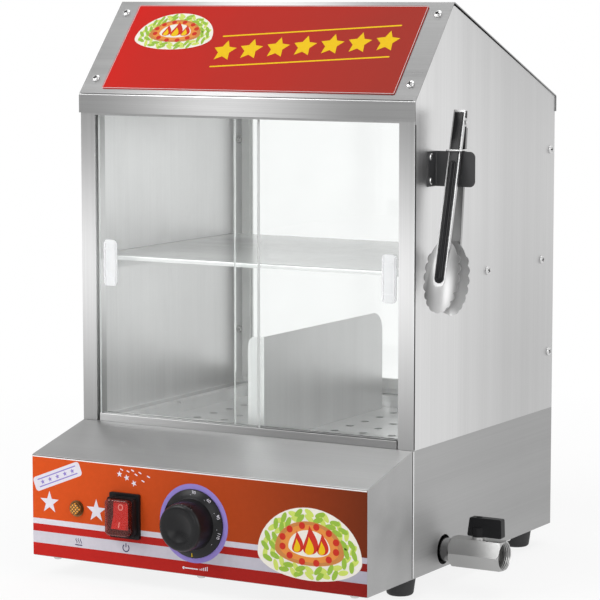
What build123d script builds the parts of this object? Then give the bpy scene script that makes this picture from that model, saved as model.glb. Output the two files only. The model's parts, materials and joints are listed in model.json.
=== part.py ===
from build123d import *
import os
from math import atan2, cos, degrees, hypot, radians, sin, sqrt, tan

# Hot dog steamer: a stainless counter cabinet with a heated water tank below, a gable roof with a
# sign, two sliding glass doors, a control console in front, a drain valve and tongs on the right.
# Millimetres. While modelling, X runs to the right from the middle of the cabinet, Y runs back from
# the cabinet's front face and Z runs up from the floor. The export moves everything so that the
# origin is the middle of the overall box, on the floor.

# ---------------------------------------------------------------- driving sizes
WIDTH = 340.0                 # cabinet, base and console
CABINET_DEPTH = 280.0
CONSOLE_DEPTH = 80.0
FOOT_HEIGHT = 18.0
BASE_HEIGHT = 111.0
CONSOLE_HEIGHT = 91.0         # console's front edge above the base's lower edge
WALL_HEIGHT = 298.0           # deck to front eaves
REAR_EAVES_DROP = 5.0
RIDGE_RISE = 81.5             # above the front eaves
RIDGE_SETBACK = 70.0
SHEET = 1.0                   # stainless sheet
FIT = 0.3                     # gap between folded parts
RUN = 0.05                    # radial gap of turning and screwed fits
BEND = 1.6                    # centre-line radius of a sheet bend

# base
BASE_FLANGE = 9.0             # turned in at the casing's lower edge
DECK_FLANGE = 19.0            # turned in at the casing's upper edge
DECK_FLANGE_FRONT = 26.0
TANK_GAP = 9.0                # tank wall to casing wall
TANK_FLOOR = 4.0              # tank's underside above the base's lower edge
TANK_RIM = 7.0
TANK_CORNER = 12.0
VENT_LENGTH = 40.0
VENT_WIDTH = 4.0
VENT_COUNT = 6

# feet
FOOT_TOP_R = 14.0
FOOT_BOTTOM_R = 11.5
FOOT_EDGE = 3.0
FOOT_INSET_X = 20.0
FOOT_INSET_FRONT = 15.0
FOOT_INSET_REAR = 32.0
FRONT_SCREW_INSETS = (23.0, 15.0)   # left and right ends of the console
FRONT_SCREW_MIDDLE = 4.0
REAR_SCREW_X = 60.0
SIDE_SCREWS_Y = (0.4, 0.7)    # shares of the cabinet's depth
FOOT_RECESS_R = 5.5
FOOT_RECESS_DEPTH = 9.0

# M4 screws and thin nuts
SCREW_R = 2.0
HEAD_R = 3.9
HEAD_H = 2.4
HEAD_BEVEL = 0.9
NUT_R = 4.04                  # across corners / 2
NUT_H = 2.2
SCREW_REACH = 6.0
SCREW_TIP = 0.4               # past a nut

# heating element and its fittings
ELEMENT_R = 4.0
ELEMENT_HEIGHT = 24.0         # above the base's lower edge
ELEMENT_SPACING = 90.0        # between the two ends
ELEMENT_SIDE_CLEAR = 40.0     # loop to the tank's side walls
ELEMENT_BEND = 25.0
ELEMENT_END_CLEAR = 30.0      # loop to the tank's front and rear walls
ELEMENT_TAIL = 20.0           # behind the console side of the bulkhead
FITTING_R = 7.0
FITTING_FLANGE_R = 11.0
FITTING_FLANGE_T = 3.0
FITTING_TAIL = 8.0
LOCKNUT_R = 11.5
LOCKNUT_H = 4.0

# drain
DRAIN_Y = 59.0
DRAIN_HEIGHT = 15.6           # above the base's lower edge
PIPE_R = 10.45
PIPE_BORE_R = 7.5
PIPE_HOLE_R = 13.2
COLLAR_R = 12.6
COLLAR_T = 3.0
VALVE_START = 9.0             # valve body from the side wall
VALVE_LENGTH = 50.0
VALVE_FLATS = 25.0
VALVE_SHOULDER = 2.2
THREAD_DEPTH = 12.0
OUTLET_R = 9.3                # G1/2 thread's minor radius
OUTLET_DEPTH = 14.0
FLOW_R = 6.0
BALL_R = 8.5
SEAT_T = 3.0
STEM_R = 3.2
NECK_R = 6.0
NECK_H = 2.4
LEVER_LENGTH = 33.0
LEVER_BACK = 10.0             # lever's short end from the stem
LEVER_HEIGHT = 17.0
LEVER_THICKNESS = 7.6
LEVER_LEAN = 2.4
LEVER_CORNER = 1.6
HUB_R = 6.2
HUB_H = 8.0
STEM_SOCKET = 7.0
LEVER_SCREW_R = 1.5
LEVER_SCREW_HEAD_R = 2.8

# cable gland
GLAND_INSET = 50.0            # from the cabinet's left side
GLAND_HEIGHT = 30.0
GLAND_BORE_R = 3.6
GLAND_THREAD_R = 6.0
GLAND_HEX_R = 9.2
GLAND_HEX_T = 4.0
GLAND_CAP_R = 7.6
GLAND_CAP_T = 9.0
GLAND_NUT_R = 9.2
GLAND_NUT_H = 3.6
GLAND_TAIL = 7.0

# console controls
OVERLAY_T = 0.4
OVERLAY_MARGIN = 1.5
CONTROL_HEIGHT = 45.5         # knob and switch centre above the base's lower edge
LAMP_INSET = 48.2             # from the console's left side
LAMP_HEIGHT = 46.5
LAMP_R = 6.2
LAMP_RIM_R = 7.2
LAMP_RIM_T = 1.0
LAMP_DOME = 2.6
LAMP_BODY_R = 5.2
LAMP_BODY_DEPTH = 20.0
SWITCH_INSET = 100.0          # from the console's left side
SWITCH_W = 31.0
SWITCH_H = 40.0
SWITCH_FLANGE_T = 3.0
SWITCH_RAISED_W = 28.0
SWITCH_RAISED_H = 34.0
SWITCH_RAISED_T = 6.0
SWITCH_BODY_W = 25.0
SWITCH_BODY_H = 31.0
SWITCH_BODY_DEPTH = 24.0
ROCKER_W = 15.0
ROCKER_H = 23.0
ROCKER_T = 9.0
ROCKER_TILT = 10.0            # each side of level, degrees
ROCKER_GAP = 1.2
TRUNNION_R = 1.6
TRUNNION_L = 2.6
BOOT_W = 25.4
BOOT_H = 32.4
BOOT_T = 1.0
BOOT_PROUD = 6.4              # in front of the raised part
BOOT_ROUND = 4.0
KNOB_X = 0.0
SKIRT_R = 30.0
SKIRT_T = 3.0
SKIRT_BEVEL = 2.0
KNOB_GAP = 0.8
GRIP_R = 22.5
GRIP_TOP_R = 20.5
GRIP_H = 20.8
GRIP_ROUND = 4.0
DISH_R = 11.0
DISH_DEPTH = 2.0
SHAFT_R = 3.0
SHAFT_HOLE_R = 4.0
SHAFT_FLAT = 1.6
KNOB_SOCKET = 14.0
STAT_W = 42.0
STAT_H = 36.0
STAT_DEPTH = 30.0
BULB_R = 3.0
BULB_LENGTH = 90.0
BULB_HEIGHT = 64.0            # above the base's lower edge
CAPILLARY_R = 0.9
CAPILLARY_LEAD = 14.0         # straight stretch behind the thermostat and before the bulkhead
CAPILLARY_BEND = 5.0
TERMINAL_INSET = 65.0         # from the console's right side
TERMINAL_W = 42.0
TERMINAL_D = 20.0
TERMINAL_H = 16.0

# cabinet frames
POST = 15.0
OPENING_HEIGHT = 278.0        # above the deck
JAMB_DEPTH = 18.0
TRACK_HEADROOM = 12.0
PANEL_FLANGE = 12.0
REAR_SILL = 15.0
REAR_RETURN = 15.0
FASCIA = 18.0
REAR_FASCIA = 15.0
ROOF_OVERHANG = 1.0
RIDGE_FLAT = 2.0              # half of the side panels' level peak

# sliding doors
GLASS = 4.0
FIN = 1.2
GROOVE = 5.9
TRACK_START = 1.5             # track's front face from the cabinet's front
LOWER_FIN_H = 7.0
UPPER_FIN_H = 10.0
DOOR_OVERLAP = 28.0
DOOR_SIDE_GAP = 1.2
DOOR_LIFT = 3.5
HANDLE_W = 14.0
HANDLE_H = 42.0
HANDLE_T = 2.8
HANDLE_INSET = 6.0
HANDLE_HEIGHT = 144.9         # handle's centre above the deck

# rear window
SEAL_LAP = 7.0                # window edge beyond the opening
SEAL_T = 1.75
SEAL_EDGE = 2.0

# shelf, tray and divider
SHELF_TOP = 150.3             # above the deck
SHELF_LIP = 4.0
SHELF_FRONT = 20.0
SHELF_REAR_GAP = 16.0
RAIL_LEG = 15.0
SHELF_SCREW_INSET_FRONT = 6.0
SHELF_SCREW_INSET_REAR = 11.0
EDGE_SCREW_INSET = 10.0
EDGE_SCREWS_Z = (54.0, 243.0) # above the deck
TRAY_DEPTH = 10.0
TRAY_RIM = 6.5
TRAY_CLEAR = 0.5
TRAY_CORNER = 8.0
TRAY_HOLE_R = 4.0
TRAY_COLUMNS = 9
TRAY_ROWS = 7
DIVIDER_X = 6.0
DIVIDER_HEIGHT = 94.0
DIVIDER_FRONT = 29.0
DIVIDER_LENGTH = 221.0
DIVIDER_FLANGE = 16.0
DIVIDER_CORNER = 18.0

# roof sign and roof screws
SIGN_T = 0.8
SIGN_MARGIN = 21.0            # from the cabinet's sides
SIGN_LOW = 4.8                # along the slope from the eaves
SIGN_HIGH = 102.0
SIGN_CORNER = 2.0
ROOF_SCREW_INSET = 10.0
ROOF_SCREWS = (16.0, 93.0)    # along the slope from the eaves

# tongs and their holder
HOLDER_SHEET = 1.0
HOLDER_REACH = 38.0
HOLDER_FLANGE = 15.0
HOLDER_BOTTOM = 223.6         # above the deck
HOLDER_HEIGHT = 30.0
HOLDER_CORNER = 5.0
RIVET_R = 1.6
RIVET_HEAD_R = 3.2
RIVET_HEAD_H = 1.2
RIVET_INSET = 5.0
TONGS_STANDOFF = 21.0         # tongs' middle from the side wall
TONGS_Y = 42.6
TONGS_HEIGHT = 278.0          # pin above the deck
TONGS_LEAN = 10.0
TONGS_SPREAD = 4.5            # half of the opening angle
ARM_W = 11.0
ARM_DEPTH = 3.0
ARM_SHEET = 0.8
ARM_OFFSET = 0.8              # pin to the arms' inner edges
ARM_HEAD = 10.0               # above the pin
ARM_LENGTH = 142.0            # below the pin
SCOOP_START = 99.0
SCOOP_LENGTH = 65.0
SCOOP_HALF = 17.0
SCOOP_ROUND = 36.0
SCOOP_BOW = 150.0
SCALLOP_R = 4.2
SCALLOPS = 15
EAR_R = 3.6                   # front arm's ears; the rear arm's are smaller
TONGS_PIN_R = 1.2
GRIP_STRIP_W = 8.4
GRIP_STRIP_T = 0.9
GRIP_STRIP_TOP = 8.0
GRIP_STRIP_END = 139.0
RING_WIRE_R = 0.9
RING_CLEAR = 0.5
SPRING_WIRE_R = 0.6

# ---------------------------------------------------------------- places worked out from the sizes
HALF_W = WIDTH / 2
INNER_W = HALF_W - SHEET
Z_BASE = FOOT_HEIGHT
Z_DECK = Z_BASE + BASE_HEIGHT
Z_EAVES = Z_DECK + WALL_HEIGHT
Z_REAR_EAVES = Z_EAVES - REAR_EAVES_DROP
Z_OPENING = Z_DECK + OPENING_HEIGHT
CONSOLE_FRONT = -CONSOLE_DEPTH
FRONT_PITCH = atan2(RIDGE_RISE, RIDGE_SETBACK)
REAR_PITCH = atan2(RIDGE_RISE + REAR_EAVES_DROP, CABINET_DEPTH - RIDGE_SETBACK)
OPENING_HALF = HALF_W - POST
ELEMENT_Z = Z_BASE + ELEMENT_HEIGHT
CONTROL_Z = Z_BASE + CONTROL_HEIGHT
PANEL_BACK = CONSOLE_FRONT + SHEET
OVERLAY_FRONT = CONSOLE_FRONT - OVERLAY_T
TANK_HALF = INNER_W - TANK_GAP
TANK_FRONT = SHEET + TANK_GAP
TANK_REAR = CABINET_DEPTH - SHEET - TANK_GAP
TANK_Z = Z_BASE + TANK_FLOOR
DECK_HOLE_HALF = INNER_W - DECK_FLANGE
DECK_HOLE_FRONT = SHEET + DECK_FLANGE_FRONT
DECK_HOLE_REAR = CABINET_DEPTH - SHEET - DECK_FLANGE
PLATE_TOP = Z_BASE + SHEET
DRAIN_Z = Z_BASE + DRAIN_HEIGHT
VALVE_X0 = HALF_W + VALVE_START
VALVE_X1 = VALVE_X0 + VALVE_LENGTH
BALL_X = (VALVE_X0 + VALVE_X1) / 2
VALVE_TOP = DRAIN_Z + VALVE_FLATS / 2
LEVER_Z = VALVE_TOP + NECK_H
GLAND_X = GLAND_INSET - HALF_W
GLAND_Z = Z_BASE + GLAND_HEIGHT
LAMP_X = LAMP_INSET - HALF_W
SWITCH_X = SWITCH_INSET - HALF_W
TERMINAL_X = HALF_W - TERMINAL_INSET
LAMP_Z = Z_BASE + LAMP_HEIGHT
SWITCH_FRONT = OVERLAY_FRONT - SWITCH_FLANGE_T - SWITCH_RAISED_T
KNOB_BACK = OVERLAY_FRONT - KNOB_GAP
GRIP_BACK = KNOB_BACK - SKIRT_T
DOOR_W = (2 * (OPENING_HALF - DOOR_SIDE_GAP) + DOOR_OVERLAP) / 2
DOOR_Z0 = Z_DECK + FIN + FIT
DOOR_Z1 = Z_OPENING + TRACK_HEADROOM - DOOR_LIFT
FRONT_GROOVE = TRACK_START + FIN + GROOVE / 2
REAR_GROOVE = FRONT_GROOVE + FIN + GROOVE
TRACK_DEPTH = 3 * FIN + 2 * GROOVE
SHELF_Z = Z_DECK + SHELF_TOP
SHELF_REAR = CABINET_DEPTH - SHELF_REAR_GAP
FIRST_SHELF_SCREW = SHELF_FRONT + SHELF_SCREW_INSET_FRONT
LAST_SHELF_SCREW = SHELF_REAR - SHELF_SCREW_INSET_REAR
SHELF_SCREWS_Y = (FIRST_SHELF_SCREW, (FIRST_SHELF_SCREW + LAST_SHELF_SCREW) / 2, LAST_SHELF_SCREW)
TRAY_Z = Z_DECK - TRAY_DEPTH
REAR_FRAME_TOP = Z_REAR_EAVES - 4 * SHEET
TONGS_Z = Z_DECK + TONGS_HEIGHT
HOLDER_Z = Z_DECK + HOLDER_BOTTOM
HOLDER_TOP = HOLDER_Z + HOLDER_HEIGHT
REAR_LEAN = radians(TONGS_LEAN - TONGS_SPREAD)
REAR_EDGE_AT_HOLDER = TONGS_Y + ARM_OFFSET / cos(REAR_LEAN) - (TONGS_Z - HOLDER_Z) * tan(REAR_LEAN)
HOLDER_Y = REAR_EDGE_AT_HOLDER - FIT - HOLDER_SHEET   # holder blade's front face
RING_Z = HOLDER_TOP + FIT + RING_WIRE_R
TONGS_X = HALF_W + TONGS_STANDOFF
LEFT, FRONT, UP = (-1, 0, 0), (0, -1, 0), (0, 0, 1)
RIGHT, BACK, DOWN = (1, 0, 0), (0, 1, 0), (0, 0, -1)


# ---------------------------------------------------------------- shape helpers
def span(x0, x1, y0, y1, z0, z1):
    """Block between two opposite corners."""
    middle = Pos((x0 + x1) / 2, (y0 + y1) / 2, (z0 + z1) / 2)
    return middle * Box(x1 - x0, y1 - y0, z1 - z0)


def bar(start, axis, radius, length):
    """Round bar from a start point along an axis."""
    upright = Cylinder(radius, length, align=(Align.CENTER, Align.CENTER, Align.MIN))
    return Plane(origin=start, z_dir=axis).location * upright


def tube(start, axis, outer, inner, length):
    """Round tube from a start point along an axis."""
    return bar(start, axis, outer, length) - bar(start, axis, inner, length)


def facing(start, axis):
    """Place whose Z lies along an axis and whose X is level where it can be."""
    level = RIGHT if axis in (UP, DOWN, FRONT, BACK) else BACK
    return Plane(origin=start, x_dir=level, z_dir=axis).location


def hex_bar(start, axis, corner_r, length):
    """Six-sided bar, corner_r from its axis to a corner."""
    return facing(start, axis) * extrude(RegularPolygon(corner_r, 6), amount=length)


def along_x(profile, x0, x1):
    """Profile drawn in (Y, Z), carried from x0 to x1."""
    return extrude(Plane.YZ.offset(x0) * profile, amount=x1 - x0)


def along_y(profile, y0, y1):
    """Profile drawn in (X, Z), carried from y0 to y1."""
    back_plane = Plane(origin=(0, y1, 0), x_dir=RIGHT, z_dir=FRONT)
    return extrude(back_plane * profile, amount=y1 - y0)


def along_z(profile, z0, z1):
    """Profile drawn in (X, Y), carried from z0 to z1."""
    return extrude(Plane.XY.offset(z0) * profile, amount=z1 - z0)


def rect_at(x0, x1, y0, y1):
    """Rectangle between two opposite corners."""
    return Pos((x0 + x1) / 2, (y0 + y1) / 2) * Rectangle(x1 - x0, y1 - y0)


def bent_strip(points, thickness):
    """Section of a folded sheet whose middle follows the points, with rounded bends."""
    return trace(FilletPolyline(*points, radius=BEND), thickness)


def pan_screw(seat, axis, reach, head_r=HEAD_R, shank_r=SCREW_R):
    """Pan-head screw: the head stands on the seat and the shank goes the other way."""
    head = chamfer(bar((0, 0, 0), UP, head_r, HEAD_H).edges().group_by(Axis.Z)[-1], HEAD_BEVEL)
    shank = bar((0, 0, 0), DOWN, shank_r, reach)
    return facing(seat, axis) * (head + shank)


def hex_nut(seat, axis, corner_r, height, hole_r):
    """Nut standing on its seat."""
    return hex_bar(seat, axis, corner_r, height) - bar(seat, axis, hole_r, height)


def mirrored(shape):
    """Copy on the other side of the cabinet's middle plane."""
    return mirror(shape, about=Plane.YZ)


def both_sides(shape):
    """A shape and its copy on the other side."""
    return [shape, mirrored(shape)]


# ---------------------------------------------------------------- base
def foot_places():
    """Centres of the four feet."""
    x = HALF_W - FOOT_INSET_X
    ys = (FOOT_INSET_FRONT, CABINET_DEPTH - FOOT_INSET_REAR)
    return [(side * x, y) for side in (-1, 1) for y in ys]


def base_screw_places():
    """Screws that hold the bottom plate: three under the console, then sides and rear."""
    x_side = INNER_W - BASE_FLANGE / 2
    y_front = CONSOLE_FRONT + SHEET + BASE_FLANGE / 2
    fronts = (FRONT_SCREW_INSETS[0] - HALF_W, FRONT_SCREW_MIDDLE, HALF_W - FRONT_SCREW_INSETS[1])
    places = [(x, y_front) for x in fronts]
    for share in SIDE_SCREWS_Y:
        places += [(-x_side, share * CABINET_DEPTH), (x_side, share * CABINET_DEPTH)]
    y_rear = CABINET_DEPTH - SHEET - BASE_FLANGE / 2
    return places + [(-REAR_SCREW_X, y_rear), (REAR_SCREW_X, y_rear)]


def punch_flanges(shape):
    """The shape with holes for the bottom plate's screws."""
    for x, y in base_screw_places():
        if y > 0:
            shape -= bar((x, y, PLATE_TOP), UP, SCREW_R + RUN, SHEET)
    return shape


def base_casing():
    """Sheet bent round the front and sides of the tank, with flanges turned in at its foot."""
    y0, y1 = SHEET, CABINET_DEPTH - SHEET
    casing = span(-HALF_W, HALF_W, 0, CABINET_DEPTH, Z_BASE, Z_DECK)
    casing -= span(-INNER_W, INNER_W, SHEET, CABINET_DEPTH, Z_BASE, Z_DECK)
    casing -= span(-INNER_W, INNER_W, 0, SHEET, Z_BASE, PLATE_TOP)
    inner = INNER_W - BASE_FLANGE
    casing += span(-INNER_W, INNER_W, y0, y0 + BASE_FLANGE, PLATE_TOP, PLATE_TOP + SHEET)
    side = span(inner, INNER_W, y0, y1, PLATE_TOP, PLATE_TOP + SHEET)
    casing += side + mirrored(side)
    casing -= bar((INNER_W - 1, DRAIN_Y, DRAIN_Z), RIGHT, PIPE_HOLE_R, SHEET + 2)
    for x in (-ELEMENT_SPACING / 2, ELEMENT_SPACING / 2):
        casing -= bar((x, -1, ELEMENT_Z), BACK, FITTING_R + RUN, SHEET + 2)
    casing -= bar((ELEMENT_SPACING / 3, -1, Z_BASE + BULB_HEIGHT), BACK, 3 * CAPILLARY_R, SHEET + 2)
    return punch_flanges(casing)


def rear_wall():
    """Flat rear wall of the base, with its own flange and the cable gland's hole."""
    inner = INNER_W - BASE_FLANGE
    y1 = CABINET_DEPTH - SHEET
    wall = span(-INNER_W, INNER_W, y1, CABINET_DEPTH, Z_BASE, Z_DECK)
    wall += span(-inner, inner, y1 - BASE_FLANGE, y1, PLATE_TOP, PLATE_TOP + SHEET)
    wall -= bar((GLAND_X, y1 - 1, GLAND_Z), BACK, GLAND_THREAD_R + RUN, SHEET + 2)
    return punch_flanges(wall)


def deck_plate():
    """Plate welded between the casing's walls, with the opening that the tray hangs in."""
    deck = span(-INNER_W, INNER_W, SHEET, CABINET_DEPTH - SHEET, Z_DECK - SHEET, Z_DECK)
    hole = rect_at(-DECK_HOLE_HALF, DECK_HOLE_HALF, DECK_HOLE_FRONT, DECK_HOLE_REAR)
    hole = fillet(hole.vertices(), TRAY_CORNER)
    return deck - along_z(hole, Z_DECK - SHEET, Z_DECK)


def bottom_plate():
    """Plate that closes the base and the console from below, with vents under the console."""
    x = INNER_W - FIT
    plate = span(-x, x, PANEL_BACK + FIT, CABINET_DEPTH - SHEET - FIT, Z_BASE, PLATE_TOP)
    for fx, fy in foot_places():
        plate -= bar((fx, fy, Z_BASE), UP, SCREW_R + RUN, SHEET)
    for sx, sy in base_screw_places():
        plate -= bar((sx, sy, Z_BASE), UP, SCREW_R + RUN, SHEET)
    pitch = 3 * VENT_WIDTH
    middle = CONSOLE_FRONT / 2
    for column in (-1, 1):
        for row in range(VENT_COUNT // 2):
            place = Pos(column * WIDTH / 5, middle + (row - 1) * pitch, Z_BASE)
            slot = extrude(SlotOverall(VENT_LENGTH, VENT_WIDTH), amount=SHEET)
            plate -= place * slot
    return plate


def feet():
    """Four tapered rubber feet with a recess for the screw head."""
    outline = Polyline((0, 0), (FOOT_BOTTOM_R, 0), (FOOT_TOP_R, FOOT_HEIGHT), (0, FOOT_HEIGHT), close=True)
    body = revolve(Plane.XZ * make_face(outline), axis=Axis.Z)
    body = fillet(body.edges().group_by(Axis.Z)[0], FOOT_EDGE)
    body -= bar((0, 0, 0), UP, FOOT_RECESS_R, FOOT_RECESS_DEPTH)
    body -= bar((0, 0, 0), UP, SCREW_R + RUN, FOOT_HEIGHT)
    return [Pos(x, y, 0) * body for x, y in foot_places()]


def base_screws():
    """Screws up through the feet, and through the bottom plate into the flanges above it."""
    reach = FOOT_HEIGHT - FOOT_RECESS_DEPTH + SHEET + NUT_H
    screws = [pan_screw((x, y, FOOT_RECESS_DEPTH), DOWN, reach) for x, y in foot_places()]
    return screws + [pan_screw((x, y, Z_BASE), DOWN, 2 * SHEET + 1) for x, y in base_screw_places()]


def side_screw_places():
    """Screws through the right side panel, as (Y, Z): shelf rail, then rear edge."""
    rail_z = SHELF_Z - SHEET - RAIL_LEG / 2
    rail = [(y, rail_z) for y in SHELF_SCREWS_Y]
    edge = [(CABINET_DEPTH - EDGE_SCREW_INSET, Z_DECK + z) for z in EDGE_SCREWS_Z]
    return rail, edge


def hex_nuts():
    """Nuts: small on the feet's screws, the shelf rails and the rear frame, large on the
    element's fittings and the cable gland."""
    hole = SCREW_R + RUN
    nuts = [hex_nut((x, y, PLATE_TOP), UP, NUT_R, NUT_H, hole) for x, y in foot_places()]
    rail, edge = side_screw_places()
    for y, z in rail:
        nuts += both_sides(hex_nut((INNER_W - SHEET, y, z), LEFT, NUT_R, NUT_H, hole))
    for y, z in edge:
        nuts += both_sides(hex_nut((INNER_W - FIT - SHEET, y, z), LEFT, NUT_R, NUT_H, hole))
    for x in (-ELEMENT_SPACING / 2, ELEMENT_SPACING / 2):
        nuts.append(hex_nut((x, 0, ELEMENT_Z), FRONT, LOCKNUT_R, LOCKNUT_H, FITTING_R + RUN))
    seat = (GLAND_X, CABINET_DEPTH - SHEET, GLAND_Z)
    nuts.append(hex_nut(seat, FRONT, GLAND_NUT_R, GLAND_NUT_H, GLAND_THREAD_R + RUN))
    return nuts


def water_tank():
    """Pressed tank that hangs by its rim under the deck."""
    rim_z = Z_DECK - 2 * SHEET
    outer = fillet(rect_at(-TANK_HALF, TANK_HALF, TANK_FRONT, TANK_REAR).vertices(), TANK_CORNER)
    inner = rect_at(-TANK_HALF + SHEET, TANK_HALF - SHEET, TANK_FRONT + SHEET, TANK_REAR - SHEET)
    inner = fillet(inner.vertices(), TANK_CORNER - SHEET)
    rim = rect_at(-TANK_HALF - TANK_RIM, TANK_HALF + TANK_RIM, TANK_FRONT - TANK_RIM, TANK_REAR + TANK_RIM)
    rim = fillet(rim.vertices(), TANK_CORNER)
    tank = along_z(outer, TANK_Z, rim_z + SHEET) + along_z(rim, rim_z, rim_z + SHEET)
    tank -= along_z(inner, TANK_Z + SHEET, rim_z + SHEET)
    tank -= bar((TANK_HALF - SHEET - 1, DRAIN_Y, DRAIN_Z), RIGHT, PIPE_R, SHEET + 2)
    for x in (-ELEMENT_SPACING / 2, ELEMENT_SPACING / 2):
        tank -= bar((x, TANK_FRONT - 1, ELEMENT_Z), BACK, FITTING_R + RUN, SHEET + 2)
    return tank


def heating_element():
    """Tubular loop lying over the tank's floor; its ends come out into the console."""
    end_x = ELEMENT_SPACING / 2
    wide = TANK_HALF - ELEMENT_SIDE_CLEAR
    start_y = -ELEMENT_TAIL
    near_y = TANK_FRONT + ELEMENT_END_CLEAR
    far_y = TANK_REAR - ELEMENT_END_CLEAR
    path = FilletPolyline((-end_x, start_y, ELEMENT_Z), (-end_x, near_y, ELEMENT_Z),
                          (-wide, near_y, ELEMENT_Z), (-wide, far_y, ELEMENT_Z),
                          (wide, far_y, ELEMENT_Z), (wide, near_y, ELEMENT_Z),
                          (end_x, near_y, ELEMENT_Z), (end_x, start_y, ELEMENT_Z),
                          radius=ELEMENT_BEND)
    ring = Plane(origin=(-end_x, start_y, ELEMENT_Z), z_dir=BACK) * Circle(ELEMENT_R)
    loop = sweep(ring, path=path)
    for x in (-end_x, end_x):
        loop += bar((x, start_y, ELEMENT_Z), FRONT, ELEMENT_R / 2, ELEMENT_TAIL / 2)
    return loop


def element_fittings():
    """Flanged sleeves that carry the element's ends through the tank and the bulkhead."""
    flange_y = TANK_FRONT + SHEET
    fittings = []
    for x in (-ELEMENT_SPACING / 2, ELEMENT_SPACING / 2):
        sleeve = bar((x, -FITTING_TAIL, ELEMENT_Z), BACK, FITTING_R, FITTING_TAIL + flange_y)
        sleeve += hex_bar((x, flange_y, ELEMENT_Z), BACK, FITTING_FLANGE_R, FITTING_FLANGE_T)
        sleeve -= bar((x, -FITTING_TAIL - 1, ELEMENT_Z), BACK, ELEMENT_R + RUN,
                      FITTING_TAIL + flange_y + FITTING_FLANGE_T + 2)
        fittings.append(sleeve)
    return fittings


def cable_gland():
    """Cable gland in the casing's rear wall."""
    wall = CABINET_DEPTH
    body = bar((GLAND_X, wall - SHEET - GLAND_TAIL, GLAND_Z), BACK, GLAND_THREAD_R, SHEET + GLAND_TAIL)
    body += hex_bar((GLAND_X, wall, GLAND_Z), BACK, GLAND_HEX_R, GLAND_HEX_T)
    cap = bar((GLAND_X, wall + GLAND_HEX_T, GLAND_Z), BACK, GLAND_CAP_R, GLAND_CAP_T)
    body += fillet(cap.edges().group_by(Axis.Y)[-1], GLAND_CAP_R / 4)
    start = (GLAND_X, wall - SHEET - GLAND_TAIL, GLAND_Z)
    return body - bar(start, BACK, GLAND_BORE_R, SHEET + GLAND_TAIL + GLAND_HEX_T + GLAND_CAP_T)


def terminal_block():
    """Mains terminals on the console's floor."""
    y0 = CONSOLE_FRONT / 2
    block = span(TERMINAL_X - TERMINAL_W / 2, TERMINAL_X + TERMINAL_W / 2, y0, y0 + TERMINAL_D,
                 PLATE_TOP, PLATE_TOP + TERMINAL_H)
    pitch = TERMINAL_W / 3
    for step in (-1, 0, 1):
        x = TERMINAL_X + step * pitch
        block -= bar((x, y0 + TERMINAL_D / 3, PLATE_TOP + TERMINAL_H / 2), UP, pitch / 5, TERMINAL_H)
        block -= bar((x, y0, PLATE_TOP + TERMINAL_H / 3), BACK, pitch / 5, TERMINAL_D)
    return block


# ---------------------------------------------------------------- console
def console_side():
    """Outline of the console's cheek in (Y, Z)."""
    return [(CONSOLE_FRONT, Z_BASE), (0, Z_BASE), (0, Z_DECK), (CONSOLE_FRONT, Z_BASE + CONSOLE_HEIGHT)]


def console_cover():
    """Hood of the console: two cheeks, the sloping top and narrow flanges turned in."""
    rise = (BASE_HEIGHT - CONSOLE_HEIGHT) / CONSOLE_DEPTH
    drop = SHEET * sqrt(1 + rise * rise)
    outline = console_side()
    hollow = [(CONSOLE_FRONT, Z_BASE), (0, Z_BASE), (0, Z_DECK - drop),
              (CONSOLE_FRONT, Z_BASE + CONSOLE_HEIGHT - drop)]
    cover = along_x(make_face(Polyline(*outline, close=True)), -HALF_W, HALF_W)
    inside = along_x(make_face(Polyline(*hollow, close=True)), -INNER_W, INNER_W)
    flanges = inside & (
        span(INNER_W - BASE_FLANGE, INNER_W, PANEL_BACK, PANEL_BACK + SHEET, PLATE_TOP, Z_DECK)
        + span(INNER_W - BASE_FLANGE, INNER_W, -SHEET, 0, PLATE_TOP, Z_DECK)
        + span(INNER_W - BASE_FLANGE, INNER_W, PANEL_BACK, 0, PLATE_TOP, PLATE_TOP + SHEET))
    cover -= inside
    return cover + flanges + mirrored(flanges)


def switch_cutout(clearance=0.0):
    """Outline of the switch body's hole in (X, Z)."""
    w, h = SWITCH_BODY_W + 2 * clearance, SWITCH_BODY_H + 2 * clearance
    return Pos(SWITCH_X, CONTROL_Z) * Rectangle(w, h)


def console_panel():
    """Front panel of the console with a flange turned back at its foot."""
    rise = (BASE_HEIGHT - CONSOLE_HEIGHT) / CONSOLE_DEPTH
    x = INNER_W - FIT
    top = Z_BASE + CONSOLE_HEIGHT - SHEET * sqrt(1 + rise * rise) - FIT
    inner_x = INNER_W - BASE_FLANGE - FIT
    panel = span(-x, x, CONSOLE_FRONT, PANEL_BACK, Z_BASE, top)
    panel += span(-inner_x, inner_x, PANEL_BACK, PANEL_BACK + BASE_FLANGE, PLATE_TOP, PLATE_TOP + SHEET)
    panel -= along_y(switch_cutout(FIT), CONSOLE_FRONT - 1, PANEL_BACK)
    panel -= bar((LAMP_X, CONSOLE_FRONT - 1, LAMP_Z), BACK, LAMP_BODY_R + RUN, SHEET + 1)
    panel -= bar((KNOB_X, CONSOLE_FRONT - 1, CONTROL_Z), BACK, SHAFT_HOLE_R, SHEET + 1)
    for sx, sy in base_screw_places():
        panel -= bar((sx, sy, PLATE_TOP), UP, SCREW_R + RUN, SHEET)
    return panel


def control_overlay():
    """Printed face sheet of the console."""
    x = INNER_W - FIT - OVERLAY_MARGIN
    sheet = rect_at(-x, x, Z_BASE + OVERLAY_MARGIN, Z_BASE + CONSOLE_HEIGHT - 2 * OVERLAY_MARGIN)
    sheet -= switch_cutout(FIT)
    sheet -= Pos(LAMP_X, LAMP_Z) * Circle(LAMP_BODY_R + RUN)
    sheet -= Pos(KNOB_X, CONTROL_Z) * Circle(SHAFT_HOLE_R)
    return along_y(sheet, OVERLAY_FRONT, CONSOLE_FRONT)


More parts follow.
